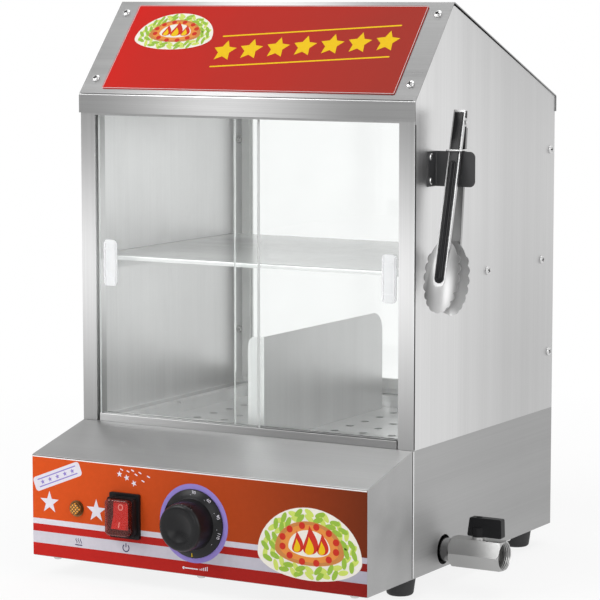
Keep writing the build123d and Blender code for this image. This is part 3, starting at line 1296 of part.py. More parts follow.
def tongs_ring():
    """Wire loop round both arms, lying over the holder's blade."""
    side = ARM_W / 2 + RING_CLEAR + RING_WIRE_R
    drop = TONGS_Z - RING_Z
    outer = ARM_OFFSET + ARM_DEPTH + GRIP_STRIP_T
    front_lean, rear_lean = radians(TONGS_LEAN + TONGS_SPREAD), radians(TONGS_LEAN - TONGS_SPREAD)
    front = TONGS_Y - drop * tan(front_lean) - outer / cos(front_lean) - RING_CLEAR - RING_WIRE_R
    rear = TONGS_Y - drop * tan(rear_lean) + outer / cos(rear_lean) + RING_CLEAR + RING_WIRE_R
    middle = (front + rear) / 2
    path = Pos(TONGS_X, middle) * RectangleRounded(2 * side, rear - front, 2 * RING_WIRE_R)
    wire = Plane.XY.offset(RING_Z) * path
    start = (TONGS_X, front, RING_Z)
    return sweep(Plane(origin=start, z_dir=RIGHT) * Circle(RING_WIRE_R), path=wire.wire())


# ---------------------------------------------------------------- export
NODES = [
    base_casing, rear_wall, deck_plate, bottom_plate, feet, base_screws, hex_nuts, water_tank,
    heating_element, element_fittings, cable_gland, terminal_block, console_cover, console_panel,
    control_overlay, lamp_body, lamp_lens, switch_housing, rocker, switch_cover, thermostat_body,
    thermostat_shaft, thermostat_bulb, control_knob, drain_pipe, valve_body, valve_seats, valve_ball,
    valve_stem, valve_lever, lever_screw, side_panel_left, side_panel_right, front_frame, rear_frame,
    roof, sign_panel, panel_screws, upper_track, lower_track, door_glass_left, door_glass_right,
    door_handle_left, door_handle_right, rear_glass, rear_seal, shelf_rails, bun_shelf,
    tray_frame, tray_floor, divider, tongs_holder, holder_rivets, tongs_arm_front, tongs_arm_rear,
    tongs_grip_front, tongs_grip_rear, tongs_pin, tongs_spring, tongs_ring,
]


def main():
    """Build every node, put the origin under the middle of the whole box and write the files."""
    os.makedirs("parts", exist_ok=True)
    shapes = {}
    for make in NODES:
        made = make()
        shapes[make.__name__] = Compound(children=list(made)) if isinstance(made, list) else made
    boxes = [shape.bounding_box() for shape in shapes.values()]
    low = [min(tuple(box.min)[i] for box in boxes) for i in range(3)]
    high = [max(tuple(box.max)[i] for box in boxes) for i in range(3)]
    shift = Pos(-(low[0] + high[0]) / 2, -(low[1] + high[1]) / 2, -low[2])
    for name, shape in shapes.items():
        export_step(shift * shape, f"parts/{name}.step")


main()
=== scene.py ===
"""Looks of a countertop hot dog steamer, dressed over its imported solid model."""

from __future__ import annotations

import json
import logging
from dataclasses import dataclass
from enum import Enum
from math import atan2, cos, degrees, hypot, pi, radians, remainder, sin, sqrt, tau

import bmesh
import bpy
from bmesh.types import BMesh, BMVert
from bpy.types import Material, Mesh, Modifier, Node, NodeSocket, NodeTree, Object
from mathutils import Matrix, Vector

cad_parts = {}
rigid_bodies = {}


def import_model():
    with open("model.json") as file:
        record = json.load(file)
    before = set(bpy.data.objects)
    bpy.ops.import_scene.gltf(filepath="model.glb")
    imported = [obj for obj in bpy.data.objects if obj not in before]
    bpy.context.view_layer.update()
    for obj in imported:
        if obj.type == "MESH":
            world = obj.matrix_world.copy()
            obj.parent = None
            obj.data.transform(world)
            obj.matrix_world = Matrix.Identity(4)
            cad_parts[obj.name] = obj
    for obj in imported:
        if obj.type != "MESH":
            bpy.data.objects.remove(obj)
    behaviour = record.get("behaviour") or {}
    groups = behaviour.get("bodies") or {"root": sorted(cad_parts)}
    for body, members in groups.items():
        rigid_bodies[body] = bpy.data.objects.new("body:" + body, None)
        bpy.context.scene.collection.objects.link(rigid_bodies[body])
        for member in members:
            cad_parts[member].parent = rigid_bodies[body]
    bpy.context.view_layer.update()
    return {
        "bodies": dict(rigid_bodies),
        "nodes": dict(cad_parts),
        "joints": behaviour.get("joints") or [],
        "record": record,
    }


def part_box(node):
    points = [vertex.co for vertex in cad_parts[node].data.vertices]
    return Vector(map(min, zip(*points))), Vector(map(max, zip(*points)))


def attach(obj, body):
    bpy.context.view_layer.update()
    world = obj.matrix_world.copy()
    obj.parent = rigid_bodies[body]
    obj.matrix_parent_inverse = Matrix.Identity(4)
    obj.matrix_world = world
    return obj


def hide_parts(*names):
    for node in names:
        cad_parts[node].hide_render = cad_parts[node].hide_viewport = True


LOG = logging.getLogger("steamer")
Colour = tuple[float, float, float]
Point2 = tuple[float, float]
Spot = tuple[Vector, Vector, float, float]  # place, facing, turn in radians, share of the size

MM = 0.001
SAME = 1e-7  # vertices closer than this, in metres, are one
RIGHT, UP, FRONT = Vector((1, 0, 0)), Vector((0, 0, 1)), Vector((0, -1, 0))
FLAT = Matrix.Identity(4)

# Cabinet's main sizes in mm
HALF_WIDTH, BASE, DECK, EAVES = 170.0, 18.0, 129.0, 427.0
RISE, SETBACK = 81.5, 70.0  # of the roof's front slope

# Prints in mm: how deep they sit, how far the first stands out, and each next one more
PRINT_BACK, PRINT_FACE, PRINT_STEP = -0.03, 0.06, 0.04


class Grain(Enum):
    """Direction of a brushed sheet's grain, as the stretch of its scratch pattern."""

    ALONG_X = (5.0, 900.0, 900.0)
    ALONG_Y = (900.0, 5.0, 900.0)
    ALONG_Z = (900.0, 900.0, 5.0)


class Axis(Enum):
    """Axis of the cabinet."""

    X = 0
    Y = 1
    Z = 2

    @property
    def unit(self) -> tuple[float, ...]:
        """Its direction."""
        return tuple(1.0 if k == self.value else 0.0 for k in range(3))


class Mark(Enum):
    """Pictograms printed under the controls."""

    HEAT = "heat"
    POWER = "power"
    DIAL = "dial"


# ---------------------------------------------------------------- places
@dataclass(frozen=True)
class Box:
    """Lowest and highest corner of a node of the solid model, in metres."""

    low: Vector
    high: Vector

    @classmethod
    def of(cls, node: str) -> Box:
        """Box of a node at rest."""
        return cls(*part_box(node))

    @property
    def centre(self) -> Vector:
        """Middle of the box."""
        return (self.low + self.high) / 2

    @property
    def size(self) -> Vector:
        """Lengths of the box's sides."""
        return self.high - self.low

    @property
    def back(self) -> Matrix:
        """Local frame in the middle of its rear face, looking to the front."""
        return axes(Vector((self.centre.x, self.high.y, self.centre.z)), RIGHT, UP)


@dataclass(frozen=True)
class Datum:
    """Cabinet's own axes: x from its middle, y from its front wall, z from the ground, in mm."""

    middle: float
    front: float

    @classmethod
    def of_cabinet(cls) -> Datum:
        """Axes read from the base casing."""
        casing = Box.of("base_casing")
        return cls(casing.centre.x, casing.low.y)

    def at(self, x: float, y: float, z: float) -> Vector:
        """Place in metres of a point given in mm on the cabinet's axes."""
        return Vector((self.middle + x * MM, self.front + y * MM, z * MM))


def axes(origin: Vector, right: Vector, up: Vector) -> Matrix:
    """Local frame for flat work.

    Args:
        origin: Its origin.
        right: Direction of its X axis.
        up: Direction of its Y axis.

    Returns:
        A matrix whose Z axis stands out of the work towards the viewer.
    """
    x, y = right.normalized(), up.normalized()
    z = x.cross(y)
    rows = [(x[i], y[i], z[i], origin[i]) for i in range(3)]
    return Matrix((*rows, (0.0, 0.0, 0.0, 1.0)))


# ---------------------------------------------------------------- node layout
class Layout:
    """Adds and links nodes in one node tree."""

    def __init__(self, tree: NodeTree) -> None:
        """Start on an empty tree."""
        self.tree = tree
        tree.nodes.clear()

    def wire(self, node: Node, inputs: dict) -> Node:
        """Set a node's inputs, by name or index, to values or to other nodes' output sockets."""
        for key, value in inputs.items():
            if isinstance(value, NodeSocket):
                self.tree.links.new(value, node.inputs[key])
            else:
                node.inputs[key].default_value = value
        return node

    def add(self, kind: str, inputs: dict | None = None, **settings: object) -> Node:
        """Add a node of a kind (its bl_idname) with its inputs and properties."""
        node = self.tree.nodes.new(kind)
        for name, value in settings.items():
            setattr(node, name, value)
        return self.wire(node, inputs or {})

    def maths(self, operation: str, *values: object) -> NodeSocket:
        """Result of a Math node on numbers or sockets."""
        return self.add("ShaderNodeMath", dict(enumerate(values)), operation=operation).outputs[0]

    def vector(self, operation: str, inputs: dict) -> dict[str, NodeSocket]:
        """Results of a Vector Math node."""
        return self.add("ShaderNodeVectorMath", inputs, operation=operation).outputs

    def times(self, value: NodeSocket, factor: NodeSocket) -> NodeSocket:
        """Vector or colour multiplied part by part."""
        return self.vector("MULTIPLY", {0: value, 1: factor})[0]

    def bump(self, strength: float, height: NodeSocket, distance: float = 0.0002) -> NodeSocket:
        """Normal of a relief."""
        inputs = {"Strength": strength, "Distance": distance, "Height": height}
        return self.add("ShaderNodeBump", inputs).outputs[0]

    def noise(self, vector: NodeSocket, scale: float, detail: float = 3.0,
              rough: float = 0.5) -> NodeSocket:
        """Value of a noise texture."""
        inputs = {"Vector": vector, "Scale": scale, "Detail": detail, "Roughness": rough}
        return self.add("ShaderNodeTexNoise", inputs).outputs[0]

    def span(self, value: NodeSocket, low: float, high: float, to_low: float,
             to_high: float) -> NodeSocket:
        """A value carried from one range to another, kept inside it."""
        inputs = {0: value, 1: low, 2: high, 3: to_low, 4: to_high}
        return self.add("ShaderNodeMapRange", inputs).outputs[0]

    def blend(self, share: object, *colours: object) -> NodeSocket:
        """Colour between two colours."""
        first, second = (c if isinstance(c, NodeSocket) else (*c, 1.0) for c in colours)
        node = self.add("ShaderNodeMix", data_type="RGBA")
        return self.wire(node, {0: share, 6: first, 7: second}).outputs[2]

    def here(self) -> NodeSocket:
        """Object coordinates."""
        return self.add("ShaderNodeTexCoord").outputs["Object"]

    def parts(self) -> dict[str, NodeSocket]:
        """X, Y and Z of the object coordinates."""
        return self.add("ShaderNodeSeparateXYZ", {0: self.here()}).outputs

    def group(self, tree: NodeTree, **inputs: object) -> Node:
        """A group node with its inputs set."""
        return self.wire(self.add("ShaderNodeGroup", node_tree=tree), inputs)


def effect(name: str, inputs: dict[str, object], *outputs: str) -> tuple[Layout, dict, Node]:
    """Start a shared shader group.

    Args:
        name: The group's name.
        inputs: Title to default value, a number or a vector.
        outputs: Titles of the numbers it gives.

    Returns:
        Its layout, its inputs' sockets and its output node.
    """
    tree = bpy.data.node_groups.new(name, "ShaderNodeTree")
    for title, value in inputs.items():
        kind = "NodeSocketVector" if isinstance(value, tuple) else "NodeSocketFloat"
        tree.interface.new_socket(title, in_out="INPUT", socket_type=kind).default_value = value
    for title in outputs:
        tree.interface.new_socket(title, in_out="OUTPUT", socket_type="NodeSocketFloat")
    sheet = Layout(tree)
    return sheet, sheet.add("NodeGroupInput").outputs, sheet.add("NodeGroupOutput")


def toned(tint: Colour, share: float) -> Colour:
    """A colour made darker or paler."""
    return tuple(c * share for c in tint)


class Effects:
    """Surface effects shared by the finishes, each a node group built once."""

    def __init__(self, datum: Datum) -> None:
        """Keep the cabinet's axes and build every group."""
        self.datum = datum
        self.painted_sheen = self._painted_sheen()
        self.brushing = self._brushing()
        self.handling = self._handling()
        self.moulding = self._moulding()

    @staticmethod
    def _brushing() -> NodeTree:
        """Fine parallel scratches with broad soft bands between them."""
        inputs = {"Stretch": Grain.ALONG_X.value}
        sheet, given, out = effect("brushed_grain", inputs, "Scratch", "Band")
        fine = sheet.times(sheet.here(), given["Stretch"])
        broad = sheet.vector("SCALE", {0: fine, "Scale": 0.05})[0]
        sheet.wire(out, {"Scratch": sheet.noise(fine, 1.0, 2.0, 0.6),
                         "Band": sheet.noise(broad, 1.0, 1.0, 0.4)})
        return sheet.tree

    @staticmethod
    def _painted_sheen() -> NodeTree:
        """Mask of a painted highlight or shade band across a sheet, strongest at its centre."""
        inputs = {"Along": (1.0, 0.0, 0.0), "Centre": 0.0, "Reach": 0.1}
        sheet, given, out = effect("painted_sheen_band", inputs, "Band")
        place = sheet.vector("DOT_PRODUCT", {0: sheet.here(), 1: given["Along"]})["Value"]
        away = sheet.maths("ABSOLUTE", sheet.maths("SUBTRACT", place, given["Centre"]))
        share = sheet.maths("DIVIDE", away, given["Reach"])
        band = sheet.add("ShaderNodeMapRange", {0: share, 1: 0.0, 2: 1.0, 3: 1.0, 4: 0.0},
                         interpolation_type="SMOOTHSTEP")
        sheet.wire(out, {"Band": band.outputs[0]})
        return sheet.tree

    @staticmethod
    def _handling() -> NodeTree:
        """Soft wiped smears and faint touches, as a mask."""
        sheet, given, out = effect("handling_marks", {"Scale": 14.0}, "Smear")
        soft = sheet.noise(sheet.here(), given["Scale"], 4.0, 0.62)
        sheet.wire(out, {"Smear": sheet.span(soft, 0.42, 0.72, 0.0, 1.0)})
        return sheet.tree

    @staticmethod
    def _moulding() -> NodeTree:
        """Fine pebbled skin of moulded plastic or rubber."""
        sheet, given, out = effect("moulded_grain", {"Scale": 1400.0}, "Pebble", "Drift")
        place = sheet.here()
        cells = sheet.add("ShaderNodeTexVoronoi", {"Vector": place, "Scale": given["Scale"]},
                          feature="SMOOTH_F1")
        sheet.wire(out, {"Pebble": cells.outputs["Distance"], "Drift": sheet.noise(place, 40.0)})
        return sheet.tree

    def wear(self, sheet: Layout, scale: float, low: float, more: float) -> NodeSocket:
        """Roughness that smears of some scale raise from a value by at most some more."""
        smear = sheet.group(self.handling, Scale=scale).outputs["Smear"]
        return sheet.span(smear, 0.0, 1.0, low, low + more)


# ---------------------------------------------------------------- finishes
def new_material(name: str) -> tuple[Material, Layout, Node, Node]:
    """Start a material.

    Args:
        name: Its name.

    Returns:
        The material, its layout, its surface shader and its output node.
    """
    material = bpy.data.materials.new(name)
    material.use_nodes = True
    sheet = Layout(material.node_tree)
    skin = sheet.add("ShaderNodeBsdfPrincipled")
    out = sheet.add("ShaderNodeOutputMaterial", {"Surface": skin.outputs[0]})
    return material, sheet, skin, out


@dataclass(frozen=True)
class PaintedSheen:
    """Painted highlight band on a sheet, or painted shade where its gain is below zero: its axis,
    centre and reach in mm, and its gain.
    """

    axis: Axis
    centre: float
    reach: float
    gain: float

    def strength(self, sheet: Layout, effects: Effects) -> NodeSocket:
        """Its gain at each point of the surface."""
        centre = effects.datum.at(self.centre, self.centre, self.centre)[self.axis.value]
        band = sheet.group(effects.painted_sheen, Along=self.axis.unit, Centre=centre,
                           Reach=self.reach * MM)
        return sheet.maths("MULTIPLY", band.outputs["Band"], self.gain)

    @staticmethod
    def over(colour: NodeSocket, painted_sheens: tuple[PaintedSheen, ...], sheet: Layout,
             effects: Effects) -> NodeSocket:
        """A colour with every painted highlight and shade band of a sheet laid over it."""
        if not painted_sheens:
            return colour
        gain = sheet.maths("ADD", 1.0, painted_sheens[0].strength(sheet, effects))
        for painted_sheen in painted_sheens[1:]:
            gain = sheet.maths("ADD", gain, painted_sheen.strength(sheet, effects))
        return sheet.times(colour, gain)


@dataclass(frozen=True)
class BrushedSteel:
    """Brushed stainless sheet."""

    name: str
    grain: Grain
    level: float = 0.60
    roughness: float = 0.32
    relief: float = 0.05
    painted_sheens: tuple[PaintedSheen, ...] = ()
    metal: float = 1.0

    def build(self, effects: Effects) -> Material:
        """Material with scratches in colour, roughness and relief, faint smears, and painted
        highlight and shade bands.
        """
        material, sheet, skin, _ = new_material(self.name)
        grain = sheet.group(effects.brushing, Stretch=self.grain.value).outputs
        smear = sheet.group(effects.handling, Scale=9.0).outputs["Smear"]
        tone = sheet.maths("ADD", sheet.maths("MULTIPLY", grain["Scratch"], 0.5),
                           sheet.maths("MULTIPLY", grain["Band"], 0.5))
        colour = sheet.blend(sheet.span(tone, 0.3, 0.7, 0.0, 1.0), (self.level * 0.92,) * 3,
                             (self.level * 1.08,) * 3)
        dull = sheet.span(tone, 0.3, 0.7, self.roughness - 0.05, self.roughness + 0.05)
        rough = sheet.maths("ADD", dull, sheet.maths("MULTIPLY", smear, 0.05))
        sheet.wire(skin, {"Metallic": self.metal, "Roughness": rough,
                          "Base Color": PaintedSheen.over(colour, self.painted_sheens, sheet, effects),
                          "Normal": sheet.bump(self.relief, grain["Scratch"])})
        return material


@dataclass(frozen=True)
class PolishedMetal:
    """Plated or polished metal with soft wear."""

    name: str
    tint: Colour = (0.80, 0.80, 0.80)
    roughness: float = 0.12
    painted_sheens: tuple[PaintedSheen, ...] = ()

    def build(self, effects: Effects) -> Material:
        """Material with smears that dull the polish, a slight drift of tone, and painted highlight
        and shade bands.
        """
        material, sheet, skin, _ = new_material(self.name)
        colour = sheet.blend(sheet.noise(sheet.here(), 90.0), toned(self.tint, 0.93), self.tint)
        sheet.wire(skin, {"Metallic": 1.0,
                          "Base Color": PaintedSheen.over(colour, self.painted_sheens, sheet, effects),
                          "Roughness": effects.wear(sheet, 60.0, self.roughness, 0.05)})
        return material


@dataclass(frozen=True)
class Moulded:
    """Moulded plastic, rubber or fired ceramic."""

    name: str
    tint: Colour
    roughness: float = 0.4
    relief: float = 0.15
    pebble: float = 1400.0
    coat: float = 0.0
    glow: float = 0.0
    shine: float = 0.5

    def build(self, effects: Effects) -> Material:
        """Material with a pebbled skin and a drift of tone."""
        material, sheet, skin, _ = new_material(self.name)
        grain = sheet.group(effects.moulding, Scale=self.pebble).outputs
        high = tuple(min(1.0, c * 1.12 + 0.002) for c in self.tint)
        colour = sheet.blend(grain["Drift"], toned(self.tint, 0.85), high)
        rough = sheet.span(grain["Drift"], 0.3, 0.7, self.roughness - 0.05, self.roughness + 0.06)
        sheet.wire(skin, {"Base Color": colour, "Roughness": rough,
                          "Specular IOR Level": self.shine,
                          "Normal": sheet.bump(self.relief, grain["Pebble"]),
                          "Coat Weight": self.coat, "Coat Roughness": 0.12})
        if self.glow > 0.0:
            sheet.wire(skin, {"Emission Color": colour, "Emission Strength": self.glow})
        return material


@dataclass(frozen=True)
class ClearPane:
    """Clear glass or clear plastic that lets light and shadow rays through."""

    name: str
    tint: Colour = (0.985, 0.995, 0.99)
    roughness: float = 0.0
    index: float = 1.45
    haze: float = 0.0
    haze_tint: Colour = (0.95, 0.96, 0.97)

    def build(self, effects: Effects) -> Material:
        """Material with faint smears; shadow rays pass so that what is behind stays lit."""
        material, sheet, skin, out = new_material(self.name)
        smear = sheet.group(effects.handling, Scale=22.0).outputs["Smear"]
        sheet.wire(skin, {"Base Color": sheet.blend(smear, self.tint, toned(self.tint, 0.985)),
                          "Roughness": sheet.span(smear, 0.0, 1.0, self.roughness,
                                                  self.roughness + 0.03),
                          "Transmission Weight": 1.0, "IOR": self.index})
        clear = sheet.add("ShaderNodeBsdfTransparent", {"Color": (*self.tint, 1.0)})
        rays = sheet.add("ShaderNodeLightPath").outputs
        passing = sheet.maths("MAXIMUM", rays["Is Shadow Ray"], rays["Is Diffuse Ray"])
        surface = skin.outputs[0]
        if self.haze > 0.0:
            veil = sheet.add("ShaderNodeBsdfDiffuse", {"Color": (*self.haze_tint, 1.0)}).outputs[0]
            surface = sheet.add("ShaderNodeMixShader",
                                {0: self.haze, 1: surface, 2: veil}).outputs[0]
        mixed = sheet.add("ShaderNodeMixShader", {0: passing, 1: surface, 2: clear.outputs[0]})
        sheet.wire(out, {"Surface": mixed.outputs[0]})
        return material


@dataclass(frozen=True)
class Ink:
    """Printed or painted colour on a smooth face."""

    name: str
    tint: Colour
    roughness: float = 0.38

    def build(self, effects: Effects) -> Material:
        """Material with a slight unevenness of the print."""
        material, sheet, skin, _ = new_material(self.name)
        colour = sheet.blend(sheet.noise(sheet.here(), 220.0), toned(self.tint, 0.95),
                             tuple(min(1.0, c * 1.04) for c in self.tint))
        sheet.wire(skin, {"Base Color": colour, "Specular IOR Level": 0.12,
                          "Roughness": effects.wear(sheet, 30.0, self.roughness, 0.08)})
        return material


@dataclass(frozen=True)
class BandedPrint:
    """Printed face sheet with level bands of colour, lowest first, each darkened to the right as
    painted shade.
    """

    name: str
    bottom: float
    top: float
    bands: tuple[tuple[float, Colour, Colour], ...]

    def build(self, effects: Effects) -> Material:
        """Material whose colour follows the height, and darkens to the right as painted shade;
        edges are in mm over the ground.
        """
        material, sheet, skin, _ = new_material(self.name)
        place = sheet.parts()
        share = sheet.span(place["Z"], self.bottom * MM, self.top * MM, 0.0, 1.0)
        left, right = (self._ramp(sheet, share, side) for side in (1, 2))
        x0, x1 = (effects.datum.at(side * HALF_WIDTH, 0, 0).x for side in (-1, 1))
        across = sheet.maths("POWER", sheet.span(place["X"], x0, x1, 0.0, 1.0), 1.2)
        grain = sheet.span(sheet.noise(sheet.here(), 260.0), 0.3, 0.7, 0.97, 1.02)
        sheet.wire(skin, {"Base Color": sheet.times(sheet.blend(across, left, right), grain),
                          "Roughness": effects.wear(sheet, 20.0, 0.36, 0.08),
                          "Specular IOR Level": 0.08})
        return material

    def _ramp(self, sheet: Layout, share: NodeSocket, side: int) -> NodeSocket:
        """Bands with sharp edges, in the colours of the left (1) or right (2) end."""
        ramp = sheet.add("ShaderNodeValToRGB", {0: share})
        ramp.color_ramp.interpolation = "CONSTANT"
        stops = ramp.color_ramp.elements
        while len(stops) < len(self.bands):
            stops.new(0.5)
        for stop, band in zip(stops, self.bands):
            stop.position = max(0.0, (band[0] - self.bottom) / (self.top - self.bottom))
            stop.color = (*band[side], 1.0)
        return ramp.outputs[0]


@dataclass(frozen=True)
class SignPrint:
    """Satin sign colour that deepens across its width."""

    name: str
    left: Colour
    right: Colour
    left_x: float
    right_x: float

    def build(self, effects: Effects) -> Material:
        """Material whose colour drifts across its width, with a cloudy unevenness and faint smears.
        """
        material, sheet, skin, _ = new_material(self.name)
        place = sheet.parts()
        across = sheet.span(place["X"], self.left_x, self.right_x, 0.0, 1.0)
        share = sheet.maths("POWER", across, 0.75)
        cloud = sheet.span(sheet.noise(sheet.here(), 12.0), 0.3, 0.7, -0.08, 0.08)
        colour = sheet.blend(sheet.maths("ADD", share, cloud), self.left, self.right)
        sheet.wire(skin, {"Base Color": colour, "Roughness": effects.wear(sheet, 16.0, 0.40, 0.10),
                          "Specular IOR Level": 0.08})
        return material


@dataclass(frozen=True)
class LampLens:
    """Amber lens with a cross-hatched face."""

    name: str
    tint: Colour = (0.85, 0.36, 0.035)
    pitch: float = 0.0024
    slant: float = 0.7071  # of the ribs, which run at 45 degrees

    def build(self, effects: Effects) -> Material:
        """Material with crossed ribs in relief, and painted shade darkening the grooves between
        them.
        """
        material, sheet, skin, _ = new_material(self.name)
        place = sheet.parts()
        turns = tau / self.pitch * self.slant
        waves = []
        for way in ("ADD", "SUBTRACT"):
            along = sheet.maths("MULTIPLY", sheet.maths(way, place["X"], place["Z"]), turns)
            waves.append(sheet.maths("SINE", along))
        ribs = sheet.maths("MINIMUM", *waves)
        lit = sheet.span(ribs, -0.7, 0.3, 0.0, 1.0)
        colour = sheet.blend(lit, toned(self.tint, 0.12), self.tint)
        sheet.wire(skin, {"Base Color": colour, "Emission Color": colour, "Emission Strength": 0.25,
                          "Roughness": effects.wear(sheet, 80.0, 0.14, 0.10),
                          "Normal": sheet.bump(0.8, ribs, 0.0004)})
        return material


class Palette:
    """Every finish of the steamer, built on first use."""

    FINISHES: tuple = (
        # Copies of one stainless steel set apart as painted light and shade: steel_base,
        # steel_posts, steel_roof, steel_console and steel_sill are darker as painted shade, and
        # steel_inside, steel_rear, steel_divider and steel_shelf are paler and less metallic as
        # painted light.
        BrushedSteel("steel_plain", Grain.ALONG_X, 0.50),
        # Their bands are painted highlights: paler towards the front (base, panels), at the panels'
        # top, at the posts' middle height, across the fascia's middle, towards the console's right
        # and the sill's left; the band at x -168.3 is painted light on the left panel's inner face,
        # and the console's band with a gain below zero is painted shade on its right side face.
        BrushedSteel("steel_base", Grain.ALONG_Y, 0.39, 0.50,
                     painted_sheens=(PaintedSheen(Axis.Y, 0.0, 220.0, 0.12),)),
        BrushedSteel("steel_panel", Grain.ALONG_Z, 0.52, 0.36,
                     painted_sheens=(PaintedSheen(Axis.Y, 0.0, 210.0, 0.36), PaintedSheen(Axis.Z, 350.0, 180.0, 0.14),
                             PaintedSheen(Axis.X, -168.3, 1.3, 0.55))),
        BrushedSteel("steel_posts", Grain.ALONG_Z, 0.39, 0.32,
                     painted_sheens=(PaintedSheen(Axis.Z, 275.0, 150.0, 1.3),)),
        BrushedSteel("steel_roof", Grain.ALONG_X, 0.35, 0.32,
                     painted_sheens=(PaintedSheen(Axis.X, -20.0, 145.0, 1.35),)),
        BrushedSteel("steel_console", Grain.ALONG_X, 0.34, 0.48,
                     painted_sheens=(PaintedSheen(Axis.X, 150.0, 260.0, 0.55), PaintedSheen(Axis.X, 170.6, 2.0, -0.35))),
        BrushedSteel("steel_sill", Grain.ALONG_X, 0.28, 0.34,
                     painted_sheens=(PaintedSheen(Axis.X, -160.0, 230.0, 1.2),)),
        BrushedSteel("steel_inside", Grain.ALONG_X, 0.82, 0.30, metal=0.5),
        BrushedSteel("steel_rear", Grain.ALONG_Z, 0.92, 0.34, metal=0.25),
        BrushedSteel("steel_divider", Grain.ALONG_Z, 0.80, 0.34, metal=0.6),
        BrushedSteel("steel_shelf", Grain.ALONG_X, 0.78, 0.20, metal=0.3),
        BrushedSteel("steel_element", Grain.ALONG_X, 0.33, 0.42),
        PolishedMetal("steel_polished", (0.66, 0.66, 0.66), 0.12),
        # Painted highlights along the middle of the front scoop and low on the rear scoop, over a
        # dark tint that leaves their rims as painted shade; a painted highlight band along the top
        # of the drain nipple; painted reflections on the valve body's lower facets and its right
        # side.
        PolishedMetal("steel_scoop_front", (0.25, 0.25, 0.25), 0.30,
                      (PaintedSheen(Axis.X, 193.0, 14.0, 1.5), PaintedSheen(Axis.Z, 275.0, 32.0, 0.25))),
        PolishedMetal("steel_scoop_rear", (0.26, 0.26, 0.26), 0.34,
                      (PaintedSheen(Axis.Z, 238.0, 130.0, 1.6),)),
        PolishedMetal("steel_nipple", (0.17, 0.17, 0.17), 0.18, (PaintedSheen(Axis.Z, 47.0, 9.0, 2.6),)),
        PolishedMetal("zinc_bright", (0.60, 0.60, 0.59), 0.24),
        PolishedMetal("nickel_satin", (0.34, 0.34, 0.337), 0.30,
                      (PaintedSheen(Axis.Z, 48.0, 15.0, 0.25), PaintedSheen(Axis.X, 228.0, 40.0, 0.25))),
        PolishedMetal("lamp_bezel", (0.22, 0.14, 0.06), 0.28),
        PolishedMetal("copper_tube", (0.80, 0.45, 0.30), 0.25),
        Moulded("black_plastic", (0.008, 0.008, 0.009), 0.34, shine=0.16),
        Moulded("black_gloss", (0.003, 0.003, 0.004), 0.16, 0.02, shine=0.28),
        Moulded("black_knob", (0.005, 0.005, 0.006), 0.30, 0.02, shine=0.28),
        Moulded("black_rubber", (0.022, 0.022, 0.023), 0.62, 0.35),
        Moulded("black_powder_coat", (0.040, 0.040, 0.042), 0.40, 0.35, 900.0, shine=0.4),
        Moulded("white_moulding", (0.80, 0.79, 0.76), 0.35),
        Moulded("silicone_pale", (0.78, 0.78, 0.77), 0.45, 0.05),
        Moulded("red_rocker", (0.85, 0.040, 0.024), 0.22, 0.04, coat=0.4, glow=0.45),
        Moulded("white_mark", (0.86, 0.84, 0.84), 0.4, 0.0, glow=0.9),
        ClearPane("clear_glass"),
        ClearPane("clear_handle", (0.97, 0.975, 0.98), 0.14, 1.45, 0.42, (0.88, 0.88, 0.89)),
        ClearPane("smoke_cover", (0.72, 0.34, 0.30), 0.05, 1.38, 0.16, (0.22, 0.035, 0.028)),
        LampLens("amber_lens"),
        Ink("ink_white", (0.70, 0.68, 0.75)),
        Ink("ink_silver", (0.60, 0.60, 0.61), 0.3),
        Ink("ink_violet", (0.27, 0.21, 0.55)),
        Ink("ink_cream", (0.72, 0.69, 0.62)),
        Ink("glass_edge_highlight", (0.90, 0.92, 0.91), 0.2),
        Ink("gap_shadow", (0.025, 0.025, 0.026), 0.7),
        Ink("painted_bend_highlight", (0.86, 0.86, 0.86), 0.3),
        Ink("ink_green", (0.26, 0.42, 0.05)),
        Ink("ink_leaf", (0.50, 0.60, 0.12)),
        Ink("ink_yellow", (0.70, 0.45, 0.008)),
        Ink("ink_orange", (0.66, 0.24, 0.05)),
        Ink("ink_red", (0.50, 0.028, 0.016)),
        Ink("ink_tan", (0.50, 0.20, 0.055)),
        Ink("painted_crease_shade", (0.12, 0.12, 0.12), 0.6),
        Ink("ink_dark", (0.045, 0.035, 0.10)),
    )

    def __init__(self, effects: Effects) -> None:
        """Keep the shared effects and the finishes by name."""
        self.effects = effects
        self.made: dict[str, Material] = {}
        self.known = {finish.name: finish for finish in self.FINISHES}

    def add(self, finish: BandedPrint | SignPrint) -> None:
        """Take in a finish whose sizes come from the solid model."""
        self.known[finish.name] = finish

    def get(self, name: str) -> Material:
        """The material of that name."""
        if name not in self.made:
            self.made[name] = self.known[name].build(self.effects)
        return self.made[name]


# ---------------------------------------------------------------- flat outlines, in mm
def rounded_rectangle(width: float, height: float, radius: float, steps: int = 5) -> list[Point2]:
    """Outline of a rectangle with round corners, anticlockwise."""
    points = []
    for quarter, (sx, sy) in enumerate(((1, 1), (-1, 1), (-1, -1), (1, -1))):
        cx, cy = sx * (width / 2 - radius), sy * (height / 2 - radius)
        for k in range(steps + 1):
            angle = radians(90 * quarter + 90 * k / steps)
            points.append((cx + radius * cos(angle), cy + radius * sin(angle)))
    return points


def ellipse(half_width: float, half_height: float, steps: int = 48) -> list[Point2]:
    """Outline of an ellipse."""
    turns = [tau * k / steps for k in range(steps)]
    return [(half_width * cos(t), half_height * sin(t)) for t in turns]


def star(radius: float, waist: float = 0.40) -> list[Point2]:
    """Outline of a five-pointed star with one tip upwards."""
    turns = [pi / 2 + pi * k / 5 for k in range(10)]
    reaches = [radius * (waist if k % 2 else 1.0) for k in range(10)]
    return [(reach * cos(turn), reach * sin(turn)) for reach, turn in zip(reaches, turns)]


